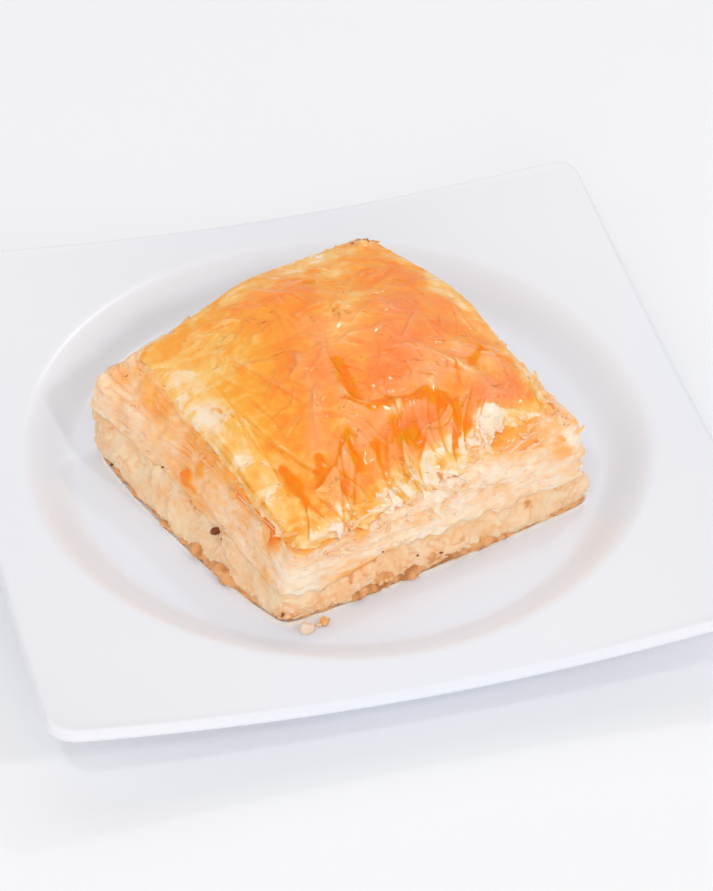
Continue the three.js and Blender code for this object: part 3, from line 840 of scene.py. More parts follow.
class MESH_OT_borek_custard(bpy.types.Operator):
    """Build the custard"""

    bl_idname = "mesh.borek_custard"
    bl_label = "Custard"

    def execute(self, context):
        """Rows up the side from the base's edge to the boundary with the sheets, pushed out by the
        bulge of the solid's profile and by lumps: noise of 9 mm, rounded curds |n| of 6 and 2.4 mm
        with sharp creases between them, and those in LUMPS."""
        lump = context.scene.borek_sizes.lump / MM
        angle = outline_angles(250)
        low = 0.9
        out, way, _ = on_level(BASE, angle)
        foot = (out - 0.8, way, np.full_like(angle, low))
        edge = boundary(angle)
        rises, bulges = np.transpose(CUSTARD_PROFILE)
        rows = []
        for rise in np.linspace(0, 1, 44):
            # The bulge of the side at this height.
            o, w, h = between(foot, edge, rise)
            swell = np.interp(rise, rises, bulges) * station(CUSTARD_BULGE, angle)
            swell = swell * (1 + 0.6 * wobble(angle, 5 + rise))
            swell = swell + 0.4 * np.sin(17 * angle + 4 * rise) * (rise < 1)
            # Curds and lumps, which give way to the seam at the top.
            place = placed(o, w, h)
            curds, small = np.abs(noise(place, 6, 22)), np.abs(noise(place, 2.4, 23))
            lumps = noise(place, 9, 21) + 1.3 * curds + small + 0.4 * noise(place, 1.1, 26) - 0.6
            grown, tone = spots(place, LUMPS)
            at = placed(o + swell + mix(lump * lumps + grown, seam(place), ease(0.84, 1, rise)), w, h)
            # Tan at the foot, in patches, in the creases between curds and along the seam.
            tan = 0.5 * ease(0.1, 0.3, noise(at, 8, 24) + 0.5 * noise(at, 2.5, 25))
            tan = (0.3 * ease(0.25, 0.0, rise) + tan) * ease(0.4, 0.05, small)
            tan = tan + 0.15 * ease(0.12, 0.0, curds) * ease(0, 0.3, noise(place, 7, 29))
            tan = tan + 0.5 * ease(0.8, 1, rise) * np.clip(noise(place, 4, 30) * 2, 0, 1)
            rows.append(rowed(at, tan + tone * (0.55 + 0.5 * noise(at, 2, 26))))
        rows += [rowed(placed(*boundary(angle, share)), 0) for share in (0.8, 0.6)]
        mesh = skin((*placed(0.0, 0.0, low), 0), np.stack(rows), (*placed(0.0, 0.0, CUSTARD_MIDDLE), 0))
        finish = custard_finish(context.scene.borek_colours)
        piece("custard_filling", *mesh, finish, "custard", ("bake",), ("custard",))
        return {"FINISHED"}


def relief(p, q):
    """Broad swells, sines of both directions, and the ridges and valleys of the top sheet, in mm."""
    lift = 0.9 * np.sin(3.1 * p + 1.2) * np.cos(2.7 * q - 0.6) + 0.5 * np.sin(6.3 * p + 4 * q)
    for line, height, width in RIDGES:
        lift = lift + height * crest(p, q, line, width)
    for line, depth, width in VALLEYS:
        lift = lift - depth * crest(p, q, line, width)
    return lift


def on_top(angle, share):
    """The domed top: the edge's height and 44 mm mixed by (1-|p|^2.6)(1-|q|^2.6), plus the relief."""
    p, q = in_square(angle, share)
    out, way, height = on_level(SHEET, angle, share)
    arch = (1 - np.abs(p) ** DOME_FULLNESS) * (1 - np.abs(q) ** DOME_FULLNESS)
    return out, way, mix(height, DOME_HEIGHT, np.clip(arch, 0, 1)) + relief(p, q)


def side_path(angle, share):
    """Up the cut face to the shoulder (share a half), then in over the terrace to the top sheet."""
    shoulder = on_level(SHOULDER, angle)
    low = between(boundary(angle, 1.0, GAP), shoulder, np.minimum(share * 2, 1))
    high = between(shoulder, on_top(angle, 1.0), np.maximum(share * 2 - 1, 0))
    return tuple(np.where(share < 0.5, a, b) for a, b in zip(low, high))


def pushed(angle, share, distance, upright=0.0):
    """A point of the side moved by a distance, square to its path or, by a share, straight up."""
    out, way, height = side_path(angle, share)
    below, above = side_path(angle, share - 0.04), side_path(angle, share + 0.04)
    rise, run = above[2] - below[2], above[0] - below[0]
    reach = np.hypot(rise, run)
    out = out + distance * mix(rise / reach, 0, upright)
    return out, way, height + distance * mix(-run / reach, 1, upright)


def drape(angle):
    """How far, in mm, the top sheet hangs down over each part of the side: a length at eight stations
    times 0.8 and ragged noise of 9, 3 and 1.2 mm."""
    edge = flat(*in_square(angle, 1.0))
    torn = 0.8 + 0.6 * noise(edge, 9, 101) + 0.4 * noise(edge, 3, 102) + 0.2 * noise(edge, 1.2, 103)
    return 0.3 + np.clip(torn, 0.05, 2) * station((6, 6, 7, 1.4, 1.0, 2.6, 8, 7), angle)


def down_side(angle, down):
    """The share of the side's path that lies a distance down from the top sheet's edge."""
    top, shoulder, foot = on_top(angle, 1.0), on_level(SHOULDER, angle), boundary(angle, 1.0, GAP)
    terrace = np.hypot(top[0] - shoulder[0], top[2] - shoulder[2])
    face = np.hypot(shoulder[0] - foot[0], shoulder[2] - foot[2])
    return np.where(down < terrace, 1 - 0.5 * down / terrace, 0.5 - 0.5 * (down - terrace) / face)


def over_edge(angle, share, lift):
    """The top sheet's place: on the dome up to a share of one, and past that down the side."""
    down = np.maximum(share - 1, 0) * SHEET_HALF
    top = on_top(angle, np.minimum(share, 1))
    side = pushed(angle, down_side(angle, down), lift, ease(5, 0, down))
    return tuple(np.where(share <= 1, a, b) for a, b in zip((top[0], top[1], top[2] + lift), side))


class MESH_OT_borek_sheets(bpy.types.Operator):
    """Build the stack of soaked sheets"""

    bl_idname = "mesh.borek_sheets"
    bl_label = "Stack of sheets"

    def execute(self, context):
        """The side as a grid of outline by path share, pushed out by noise drawn out along the
        layers, 14 by 3 and 7 by 1.6 mm, and by folded noise 1-2|n|, 11 by 1.9 and 6 by 1 mm, that
        makes thin edges. The left side has broad swells of 15 mm instead. Lumps of 8, 3 and 1.2 mm
        lie over it, and it sinks under the hanging top sheet."""
        ledge = context.scene.borek_sizes.ledge / MM
        angle, share = np.broadcast_arrays(outline_angles(250)[None], np.linspace(0, 1, 92)[:, None])
        base = placed(*side_path(angle, share))
        # Layers that bend up and down along the side.
        bend = 1.6 * noise(base, 24, 31) + 0.7 * noise(base, 9, 32) + 0.25 * noise(base, 3, 33)
        layer = base + bend[..., None] * (0, 0, 1)
        thick = strata(layer, 14, 3.0, 34)
        thin = strata(layer, 7, 1.6, 35)
        edges = 1 - 2 * np.abs(strata(layer, 11, 1.9, 36))
        fine = 1 - 2 * np.abs(strata(layer, 6, 1.0, 37))
        crisp = station((1, 1, 1, 0.6, 0.35, 0.6, 1, 1), angle)
        # Ledges, lumps, the seam with the custard and the part under the hanging sheet.
        push = ledge * (1.3 * thick + crisp * (0.7 * thin + 0.35 * edges + 0.2 * fine))
        push = push + (1 - crisp) * noise(base, 15, 46)
        push = push + 0.9 * noise(base, 8, 39) + 0.5 * noise(base, 3, 40) + 0.15 * noise(base, 1.2, 41)
        grown, tone = spots(base, LUMPS)
        push = mix(seam(base), push + grown, ease(0, 0.06, share))
        sunk, ring = -0.6, angle[0]
        edge = down_side(ring, drape(ring))
        push = mix(push, sunk, ease(edge - 0.02, edge + 0.06, share))
        at = placed(*pushed(angle, share, push))
        # Browner in the hollows and on the terrace, with syrup in the crevices.
        hollow = np.clip(-push, 0, 1.2)
        bake = station((0.25, 0.25, 0.25, 0.22, 0.36, 0.22, 0.1, 0.2), angle)
        bake = bake + 0.14 * noise(base, 9, 42) + 0.1 * crisp * thin + 0.09 * noise(base, 3, 43)
        terrace = station((0.2, 0.2, 0.2, 0.1, 0.24, 0.45, 0.22, 0.2), angle)
        bake = bake + 0.12 * hollow + terrace * ease(0.5, 0.8, share) + 0.6 * tone
        golden = np.clip(strata(layer, 18, 2.2, 44) * 1.6 - 0.15, 0, 1) * ease(0.35, 0.9, share)
        syrup = 0.9 * golden * ease(0.2, -0.5, thick) + 0.35 * np.clip(noise(base, 6, 45) - 0.3, 0, 1)
        # The hidden rings within, under the custard's boundary and under the dome.
        body = rowed(at, bake, syrup, 0, 0)
        under = [rowed(placed(*boundary(ring, s, GAP)), 0, 0, 0, 0) for s in (0.6, 0.8)]
        under.append(body[0] - (0, 0, GAP + 0.1, 0, 0, 0, 0))
        over = []
        for s in (0.96, 0.8, 0.5, 0.25):
            o, w, h = on_top(ring, s)
            over.append(rowed(placed(o, w, h - 5.4 + 3.5 * s), 0, 0, 0, 0))
        rings = np.concatenate([np.stack(under), body, np.stack(over)])
        low = (*placed(0.0, 0.0, CUSTARD_MIDDLE + GAP), 0, 0, 0, 0)
        high = (*placed(0.0, 0.0, DOME_HEIGHT - 6), 0, 0, 0, 0)
        finish = pastry(context.scene.borek_colours, "syrup_soaked_phyllo", True)
        piece("sheet_stack", *skin(low, rings, high), finish, "glazed_pastry", SKIN_ROWS, ("pastry_sheets",))
        return {"FINISHED"}


# How the bake differs over the top: middle, half widths both ways and amount. Below zero is paler.
BAKE_SPOTS = (
    (-0.72, 0.45, 0.24, 0.5, -0.26), (-0.42, 0.45, 0.25, 0.4, -0.02), (-0.68, 0.73, 0.12, 0.14, 0.04),
    (-0.97, 0.0, 0.2, 1.0, -0.38), (-0.9, -0.7, 0.1, 0.35, -0.1), (-0.75, -0.2, 0.14, 0.16, -0.14),
    (-0.55, 0.15, 0.14, 0.12, 0.12), (0.2, 0.93, 0.9, 0.1, -0.32), (0.96, 0.2, 0.08, 0.6, -0.3),
    (0.4, 0.8, 0.25, 0.1, -0.15), (0.28, 0.4, 0.18, 0.26, -0.24), (0.62, -0.62, 0.14, 0.06, -0.1),
    (0.84, -0.86, 0.12, 0.12, 0.34), (0.14, -0.78, 0.24, 0.09, 0.3), (-0.04, -0.67, 0.18, 0.04, -0.24),
    (0.02, 0.0, 0.12, 0.12, -0.22), (0.6, 0.85, 0.2, 0.12, -0.15), (-0.55, 0.6, 0.22, 0.2, -0.14),
    (0.92, 0.1, 0.12, 0.5, -0.12), (-0.78, 0.08, 0.1, 0.12, 0.14), (-0.1, 0.2, 0.14, 0.14, -0.12),
    (-0.72, 0.42, 0.12, 0.14, -0.1), (0.3, -0.25, 0.26, 0.28, 0.28), (0.6, 0.05, 0.25, 0.25, 0.1),
    (0.2, 0.5, 0.2, 0.14, 0.1), (-0.35, -0.15, 0.16, 0.3, 0.12), (0.12, 0.15, 0.12, 0.18, -0.16),
    (0.61, -0.99, 0.12, 0.075, -0.6), (0.68, -0.8, 0.16, 0.08, 0.36), (0.1, -0.44, 0.14, 0.1, 0.22),
    (0.07, -0.93, 0.12, 0.05, 0.3), (-0.93, 0.15, 0.09, 0.16, -0.2), (0.3, -1.0, 0.6, 0.07, -0.34),
    (-0.75, -0.98, 0.3, 0.08, -0.35), (0.9, -0.84, 0.1, 0.16, 0.2), (-0.05, -0.78, 0.45, 0.12, 0.12),
    (0.5, -0.5, 0.3, 0.13, -0.16), (0.45, 0.68, 0.1, 0.08, -0.2),
)

# Creases of the top that syrup has filled: line on its square, half width in mm and amount.
POOLS = (
    (((-0.08, -0.08), (-0.12, -0.2), (-0.15, -0.35), (-0.17, -0.48)), 2.1, 1.8),
    (((-0.14, -0.54), (-0.02, -0.58), (0.08, -0.61), (0.18, -0.64), (0.3, -0.65)), 1.6, 1.6),
    (((0.3, -0.66), (0.35, -0.74), (0.43, -0.77)), 2.4, 1.3),
    (((0.44, -0.76), (0.41, -0.88), (0.36, -0.98)), 2.5, 1.3),
    (((0.0, -0.66), (-0.02, -0.76), (-0.03, -0.9)), 3.0, 1.0),
    (((-0.33, -0.58), (-0.38, -0.7), (-0.4, -0.82)), 2.4, 1.2),
    (((-0.57, -0.6), (-0.61, -0.7), (-0.66, -0.78)), 3.0, 1.0),
    (((-0.79, -0.45), (-0.78, -0.66), (-0.81, -0.85)), 1.8, 1.0),
    (((-0.19, -0.72), (-0.25, -0.9)), 1.8, 0.9),
    (((-0.48, -0.78), (-0.54, -0.92)), 1.8, 0.8),
    (((0.1, -0.78), (0.06, -0.92)), 1.6, 0.8),
    (((0.66, -0.59), (0.78, -0.52), (0.87, -0.43)), 1.2, 1.3),
    (((-0.93, 0.3), (-0.88, 0.21), (-0.84, 0.08), (-0.81, -0.04)), 1.9, 0.42),
    (((0.17, 0.69), (0.27, 0.64)), 1.6, 0.9),
    (((0.7, 0.42), (0.77, 0.32)), 1.3, 0.7),
    (((-0.66, -0.1), (-0.58, -0.2)), 1.4, 0.5),
)

# Where the top is peach rather than golden, in the same form. Below zero it is straw yellow.
BLUSH_SPOTS = (
    (0.14, -0.79, 0.22, 0.08, -0.6), (-0.02, -0.66, 0.18, 0.04, 0.6), (0.3, -0.25, 0.34, 0.3, 0.3),
    (0.55, 0.1, 0.25, 0.3, 0.4), (0.05, 0.1, 0.2, 0.2, 0.4), (0.85, -0.85, 0.14, 0.14, 0.7),
    (-0.5, -0.5, 0.1, 0.12, 0.4), (-0.25, -0.68, 0.12, 0.06, 0.35), (0.2, -0.8, 0.08, 0.08, 0.4),
    (0.45, -0.52, 0.35, 0.07, 0.8), (-0.1, 0.75, 0.4, 0.14, 0.3), (-0.6, 0.25, 0.42, 0.7, -0.4),
    (-0.85, 0.0, 0.14, 0.8, -0.2), (0.86, -0.12, 0.14, 0.45, 0.4), (-0.1, 0.2, 0.16, 0.16, 0.4),
)

# How far from its line a fold still shows, as a share of the top's half width.
FOLD_REACH = 0.16


def zone(p, q, places):
    """A sum of soft spots: each one's amount times exp(-(x^2+y^2)^1.4), with x and y its distances
    from the middle over its half widths."""
    total = 0
    for p0, q0, wide, deep, amount in places:
        total = total + amount * np.exp(-((((p - p0) / wide) ** 2 + ((q - q0) / deep) ** 2) ** 1.4))
    return total


def bent_line(start, lean, length, bend):
    """Three points of a line that sets off one way and turns by the bend."""
    turn = lean + bend * np.array([0, 0.5, 1])
    steps = length * np.array([0, 0.5, 1])
    return np.stack([start[0] + steps * np.cos(turn), start[1] + steps * np.sin(turn)], 1)


def wrinkles(p, q):
    """Seeded folds of the top sheet: pleats that run down over the front edge, long ones beside the
    left edge and short ones elsewhere. Gives heights and the shade at the folds' feet."""
    rng = np.random.default_rng(56)
    lift, shade = np.zeros_like(p), np.zeros_like(p)
    folds = []
    pleats, long_folds, short_folds = 34, 14, 150
    for index in range(pleats):
        p0 = -0.98 + 2.0 * (index + rng.random()) / pleats
        lean = mix(-np.pi / 2, -2.15, ease(-0.75, -0.2, p0)) + rng.normal(0, 0.32)
        start = (p0 + 0.1, rng.uniform(-0.86, -0.6))
        line = bent_line(start, lean, rng.uniform(0.25, 0.6), rng.normal(0, 0.3))
        folds.append((line, 1.4 * rng.uniform(0.35, 1) ** 2, rng.uniform(0.7, 2.2)))
    for _ in range(long_folds):
        start = (rng.uniform(-1.0, -0.6), rng.uniform(0.0, 0.5))
        lean = -np.pi / 2 + rng.normal(0.05, 0.08)
        line = bent_line(start, lean, rng.uniform(0.4, 0.9), rng.normal(0, 0.12))
        folds.append((line, rng.uniform(0.35, 0.8), rng.uniform(0.7, 1.4)))
    for _ in range(short_folds):
        start = rng.uniform((-0.7, -0.6), (0.95, 0.9))
        calm = 1 - 0.45 * ease(-0.2, 0.3, start[1])
        line = bent_line(start, rng.normal(-0.9, 0.8), rng.uniform(0.12, 0.4), rng.normal(0, 0.5))
        folds.append((line, calm * rng.uniform(0.25, 1.0), rng.uniform(0.5, 1.4)))
    for line, height, width in folds:
        low, high = line.min(0) - FOLD_REACH, line.max(0) + FOLD_REACH
        here = (p > low[0]) & (p < high[0]) & (q > low[1]) & (q < high[1])
        rise, foot = fold(p[here], q[here], line if rng.random() < 0.5 else line[::-1], width)
        lift[here] += height * rise
        shade[here] = np.maximum(shade[here], min(1, 1.2 * height) * foot)
    return lift, shade


def sheet_rows(angle, share, offset=0.0):
    """Rows of the top sheet: its place with wrinkles, and its bake, syrup, creases and blush."""
    wrinkle = bpy.context.scene.borek_sizes.wrinkle / MM
    p, q = in_square(angle, share)
    spot = flat(p, q)
    past = ease(0.98, 1.12, share)
    front = ease(-0.35, -0.85, q)

    # Wrinkles: placed folds and two nets of creases, livelier to the front and the right.
    bent = spot + 3.0 * np.stack([noise(spot, 14, 51), noise(spot, 14, 52), 0 * p], -1)
    folds, shade = wrinkles(p, q)
    net = np.clip(1 - 3.2 * np.abs(noise(bent, 13, 53)), 0, 1) ** 2
    finer = np.clip(1 - 3.2 * np.abs(noise(bent, 6, 54)), 0, 1) ** 2
    active = 0.4 + 0.6 * ease(0.15, -0.6, q) + 0.35 * ease(0.2, 0.8, p) * ease(0.5, -0.1, q)
    active = np.clip(active, 0, 1)
    lift = wrinkle * (folds + active * (0.55 * net + 0.35 * finer * front))
    lift = lift + 0.12 * noise(spot, 3, 55, 2) * active

    # The hanging edge, which curls away from the side at its torn end.
    hanging = 0.25 + 0.2 * past * noise(spot, 2, 58)
    length = drape(angle)
    end = np.clip((share - 1) * SHEET_HALF / length, 0, 1)
    curl = 0.7 * np.clip(noise(flat(*in_square(angle, 1.0)), 5, 60), -0.4, 1) * end**2
    lift = mix(lift, lift * 0.8, past) + hanging + curl + offset

    # Bake, paler on ridges and folds, and palest where the sheet hangs over the side.
    sway = 0.07 * noise(spot, 9, 68), 0.07 * noise(spot, 9, 69)
    warped, held = ((p + much * sway[0], q + much * sway[1]) for much in (1, 0.15))
    bake = 0.6 + zone(*warped, BAKE_SPOTS) + 0.09 * noise(bent, 16, 62, 2)
    # The bake is raised at the folds' feet as painted shade.
    bake = bake + 0.12 * ease(-0.14, 0.14, noise(bent, 10, 61)) + 0.22 * shade
    ridge = np.clip(sum(h / 2 * crest(p, q, line, 1.5 * w) for line, h, w in RIDGES), 0, 1)
    bake = bake - 0.2 * ridge - 0.16 * np.clip(folds - 0.15, 0, 1) - 0.1 * net * active
    pale = station((0.3, 0.4, 0.4, 0.5, 0.3, 0.5, 0, 0.2), angle)
    pale = mix(0.1 + 0.1 * noise(spot, 4, 64), 0.32, pale)
    fading = station((0.6, 0.6, 0.6, 0.8, 1, 1, 1, 0.9), angle)
    bake = mix(bake, pale, ease(0.92, 1.1, share + 0.07 * noise(spot, 4, 65)) * fading)

    # Syrup, in the pools and between the folds of the front.
    pools = front * ease(0.35, 0.0, folds) * np.clip(noise(spot, 7, 63) * 1.5, 0, 1)
    syrup = sum(amount * crest(*held, line, w) for line, w, amount in POOLS)
    # Syrup also at the folds' feet: partly syrup gathered there and partly painted shade.
    syrup = syrup * (1 - 0.4 * np.clip(folds, 0, 1)) + 0.6 * pools + 0.5 * shade * active
    syrup = ease(0.25, 0.68, syrup + 0.25 * noise(bent, 4, 59, 2)) * (1 - 0.55 * past)
    bake = mix(bake, np.maximum(bake, 0.5), syrup)

    # Painted shade as brown creases at the folds' feet, the burnt tip, then the blush of ridges
    # and spots.
    crease = 0.3 * shade * np.clip(noise(spot, 5, 70) + 0.2, 0, 1)
    tip = np.exp(-(((p - 0.88) / 0.07) ** 2) - ((q - 0.96) / 0.05) ** 2)
    crease = np.clip(crease + tip * (0.7 + noise(spot, 1.5, 67)), 0, 1)
    blush = 0.8 * ridge + 0.5 * np.clip(folds - 0.1, 0, 1) * ease(1.05, 0.9, share)
    blush = 0.7 * zone(*warped, BLUSH_SPOTS) + blush * ease(-0.8, -0.5, p)
    blush = np.clip(blush + 0.15 * noise(bent, 8, 57), -0.5, 0.85) * (1 - syrup) * (1 - past)
    blush = blush * np.where(blush > 0, ease(0.1, 0.45, bake), 1)
    return rowed(placed(*over_edge(angle, share, lift)), bake, syrup, crease, blush)


class MESH_OT_borek_top(bpy.types.Operator):
    """Build the glazed top sheet"""

    bl_idname = "mesh.borek_top"
    bl_label = "Glazed top sheet"

    def execute(self, context):
        """A square grid over the dome, whose share is the larger of |p| and |q|, rings that hang down
        over the side to a torn edge, and an underside a leaf's thickness within."""
        leaf = context.scene.borek_sizes.leaf / MM
        n = 256
        u = 2 * np.arange(n + 1) / n - 1
        across, deep = np.meshgrid(u, u, indexing="ij")
        grid = sheet_rows(np.arctan2(deep, across), np.maximum(np.abs(across), np.abs(deep)))
        ring = outline_angles(n)
        length = drape(ring) / SHEET_HALF
        rings = [sheet_rows(ring, np.full(4 * n, s), -d) for s, d in ((0.7, 3.0), (0.9, 2.0), (0.97, 1.0))]
        rings += [sheet_rows(ring, 1 + length * s, -leaf) for s in (0, 0.3, 0.6, 0.85, 0.97)]
        rings += [sheet_rows(ring, 1 + length * s, 0.0) for s in np.linspace(1, 0, 20)[:-1]]
        rings.append(grid[grid_outline(n)])
        mesh = skin((*placed(0.0, 0.0, DOME_HEIGHT - 5), 0.5, 0, 0, 0), np.stack(rings), grid=grid)
        finish = pastry(context.scene.borek_colours, "egg_washed_phyllo", False)
        piece("top_sheet", *mesh, finish, "glazed_pastry", SKIN_ROWS)
        return {"FINISHED"}


def flakes(roots, along, face, sizes, seed):
    """Thin curled leaves. Each is a disc of 4 rings by 18 on both faces, with a radius of
    1+0.3sin2t+0.2sin3t+0.15sin5t at seeded phases, bent over its length by a seeded curl."""
    rng = np.random.default_rng(seed)
    count, columns = len(roots), 18
    turn = 2 * np.pi * np.arange(columns) / columns
    waves = zip((0.3, 0.2, 0.15), (2, 3, 5), rng.uniform(0, 2 * np.pi, (3, count, 1)))
    radius = 1 + sum(height * np.sin(number * turn + phase) for height, number, phase in waves)
    across = np.cross(face, along)
    curl, twist = rng.normal(0, 0.35, count), rng.normal(0, 0.3, count)
    ripple = rng.uniform(0, 6, count)

    def row(share, side):
        u, v = radius * share * np.cos(turn), radius * share * np.sin(turn)
        rise = curl[:, None] * u * u + twist[:, None] * u * v
        rise = rise + 0.1 * np.sin(4 * u + 3 * v + ripple[:, None])
        lift = sizes[:, 2:3] * side * np.sqrt(1 - 0.96 * share**6) / 2 + rise * sizes[:, 1:2]
        parts = ((u * sizes[:, :1] / 2, along), (v * sizes[:, 1:2] / 2, across), (lift, face))
        return roots[:, None] + sum(value[..., None] * axis[:, None] for value, axis in parts)

    shares = (0.35, 0.7, 0.95)
    rings = [row(share, -1) for share in shares] + [row(1, 0)] + [row(share, 1) for share in shares[::-1]]
    return np.stack(rings, 1), row(0, -1)[:, 0], row(0, 1)[:, 0]


def side_frame(angle, share, distance):
    """Places on the side, and unit vectors along the outline, up the path and outwards."""
    here = placed(*pushed(angle, share, distance))
    along = placed(*side_path(angle + 0.01, share)) - placed(*side_path(angle - 0.01, share))
    up = placed(*side_path(angle, share + 0.02)) - placed(*side_path(angle, share - 0.02))
    along, up = unit(along), unit(up)
    return here, along, up, np.cross(along, up)


# Where loose flakes lie: angles from and to, shares of the side's path, count, bake and gold.
FLAKE_ZONES = (
    (-62, -33, 0.35, 0.97, 32, 0.15, 0.6), (-132, -60, 0.3, 0.8, 40, 0.02, 0.3),
    (-150, -62, 0.8, 1.0, 30, 0.0, 0.6), (165, 222, 0.5, 0.9, 8, 0.2, 0.5),
    (-30, 135, 0.3, 0.8, 40, 0.2, 0.2),
)

# The single leaves' places on the side's path. The first five are on the cut face.
LEAVES = (0.07, 0.17, 0.27, 0.36, 0.45, 0.56, 0.66, 0.75, 0.83, 0.9, 0.955)
FACE_LEAVES = 5

# How far inside the stack a leaf's edge begins, and how far apart the leaves' noises are taken, in mm.
LEAF_ROOT = 2.5
LANE_STEP = 97.0


def leaf_edge(index, share, leaf):
    """One leaf's edge: a thin profile, out over the ledge, round its tip and back, carried round the
    outline at a share of the side's path. Its reach is noise along the outline, so it shows in
    places and lies inside the stack in others."""
    angle = outline_angles(230)
    profile = np.concatenate([np.linspace(0, 1, 6), np.linspace(1, 0, 6)[1:-1]])
    half = np.array([0.5] * 6 + [-0.5] * 4) * np.sqrt(1 - profile**6 * 0.96)
    covered = down_side(angle, drape(angle))
    lane = placed(*on_level(SHOULDER, angle)) * (1, 1, 0) + (0, 0, LANE_STEP * index)
    wave = share + 0.03 * noise(lane, 16, 72) + 0.012 * noise(lane, 5, 78)
    terrace = share > 0.5
    rough = station((1, 1, 1, 0.4, 0.2, 0.6, 1, 1), angle)
    reach = (0.2 if terrace else -0.5) + 1.5 * noise(lane, 11, 73)
    reach = reach + rough * (0.8 * noise(lane, 3, 74) + 0.4 * noise(lane, 1.2, 75)) + 0.4 * (1 - rough)
    reach = mix(np.minimum(reach, 2.2), -1.8, ease(covered - 0.04, covered + 0.02, wave))
    raised = 0.5 * np.clip(noise(lane, 7, 76), -0.3, 1) + 0.3 * noise(lane, 2.5, 77)
    thick = leaf * (1 + 0.4 * noise(lane, 5, 78))
    rows = []
    for along, side in zip(profile, half):
        o, w, h = pushed(angle, wave, -LEAF_ROOT + (reach + LEAF_ROOT) * along)
        at = placed(o, w, h + raised * along**2 * (1.4 if terrace else 0.6) + side * thick)
        bake = station((0.25, 0.25, 0.25, 0.28, 0.38, 0.2, 0.06, 0.05), angle)
        bake = bake + 0.14 * noise(at, 5, 79) - 0.08 * along + 0.12 * terrace
        rows.append(rowed(at, bake, 0.3 * (1 - along), 0, 0))
    return loops(np.stack(rows))


def loose(rng, leaf):
    """Small torn flakes scattered by seed over the zones of the side, each tilted away from it and
    swung round in its own plane by seeded angles."""
    angle, share, tones = [], [], []
    for start, end, low, high, count, baked, gold in FLAKE_ZONES:
        angle.append(np.radians(rng.uniform(start, end, count)))
        share.append(rng.uniform(low, high, count))
        bake = rng.uniform(0, 0.25, count) + baked
        tones.append(np.stack([bake, gold * rng.random(count), 0 * bake, 0 * bake], 1))
    angle, share, tones = (np.concatenate(values) for values in (angle, share, tones))
    here, along, up, away = side_frame(angle, share, 0.4)
    count = len(angle)
    tilt, swing = rng.normal(0.35, 0.35, (count, 1)), rng.normal(0, 0.4, (count, 1))
    face = away * np.cos(tilt) + up * np.sin(tilt)
    axis = along * np.cos(swing) + np.cross(face, along) * np.sin(swing)
    sizes = np.stack([rng.uniform(2.0, 7.5, count), rng.uniform(0.8, 2.8, count), np.full(count, leaf)], 1)
    return flakes(here, axis, face, sizes, 172), tones


def papery(leaf):
    """Larger pale leaves that stand off the stack under the top's front edge."""
    angle, share = np.radians([-59, -68, -125, -95, -105]), np.array([0.96, 0.9, 0.98, 0.55, 0.8])
    here, along, up, away = side_frame(angle, share, 1.8)
    face = away * 0.85 + up * 0.5
    sizes = np.stack([(9, 5, 7, 5, 4), (7, 3.5, 5, 2.5, 3), np.full(len(angle), leaf)], 1)
    tones = np.tile((0.02, 0.05, 0, 0), (len(angle), 1))
    return flakes(here, np.cross(face, along), face, sizes, 178), tones


def burnt(rng, leaf):
    """A tuft of dark curled tips at the top's back corner, which point anywhere, a little upwards."""
    count, back = 7, 0.97
    root = placed(*over_edge(np.arctan2(back, back), back, -0.6))
    root = root + rng.normal(0, 1, (count, 3)) * (1.6, 0.6, 0.3)
    axis = unit(rng.normal(0, 1, (count, 3)) * (1, 0.3, 0.5) + (0, 0, 0.4))
    face = unit(np.cross(axis, (0, 1, 0.2)))
    sizes = np.stack([rng.uniform(2.5, 4.5, count), rng.uniform(0.7, 1.2, count), np.full(count, leaf)], 1)
    creased = rng.uniform(0.5, 1, count)
    tones = np.stack([np.full(count, 0.7), 0 * creased, creased, 0 * creased], 1)
    return flakes(root, axis, face, sizes, 173), tones


class MESH_OT_borek_leaves(bpy.types.Operator):
    """Build the edges of single leaves and the loose flakes that stand out of the stack"""

    bl_idname = "mesh.borek_leaves"
    bl_label = "Leaves and flakes"

    def execute(self, context):
        """Each leaf is its own closed edge, and the flakes are small closed bodies."""
        leaf = context.scene.borek_sizes.leaf / MM
        finish = bpy.data.materials["syrup_soaked_phyllo"]
        edges = [leaf_edge(index, share, leaf) for index, share in enumerate(LEAVES)]
        rng = np.random.default_rng(171)
        shapes = {
            "side_leaves": joined(edges[:FACE_LEAVES]),
            "terrace_leaves": joined(edges[FACE_LEAVES:]),
            "loose_flakes": bodies(*loose(rng, leaf)),
            "papery_leaves": bodies(*papery(leaf)),
            "burnt_curls": bodies(*burnt(rng, leaf)),
        }
        for name, mesh in shapes.items():
            piece(name, *mesh, finish, "glazed_pastry", SKIN_ROWS)
        return {"FINISHED"}


def chips(places, sizes, seed, facets):
    """Small rough bodies of 9 by 14 places: a ball dented by noise and cut by a few seeded planes,
    of which the nearest sets how far it reaches each way."""
    lat = np.linspace(0, np.pi, 11)[1:-1, None]
    lon = 2 * np.pi * np.arange(14) / 14
    ball = np.stack([np.sin(lat) * np.cos(lon), np.sin(lat) * np.sin(lon), -np.cos(lat) + 0 * lon], -1)
    rng = np.random.default_rng(seed)
    rings, low, high = [], [], []
    for place, size in zip(np.array(places), sizes):
        stretch = np.array([rng.uniform(0.8, 1.25), rng.uniform(0.7, 1.05), rng.uniform(0.6, 0.85)])
        planes = unit(rng.normal(size=(facets, 3)))

        def body(ways):
            reach = 1 + 0.3 * noise(ways + place, 0.9, seed + 1) + 0.15 * noise(ways + place, 0.35, seed + 2)
            for plane in planes:
                reach = np.minimum(reach, 0.6 / np.clip(ways @ plane, 0.3, 1))
            return ways * reach[..., None] * stretch * size / 2 + place

        rings.append(body(ball))
        low.append(body(np.array([[0, 0, -1.0]]))[0])
        high.append(body(np.array([[0, 0, 1.0]]))[0])
    return np.stack(rings), np.stack(low), np.stack(high)


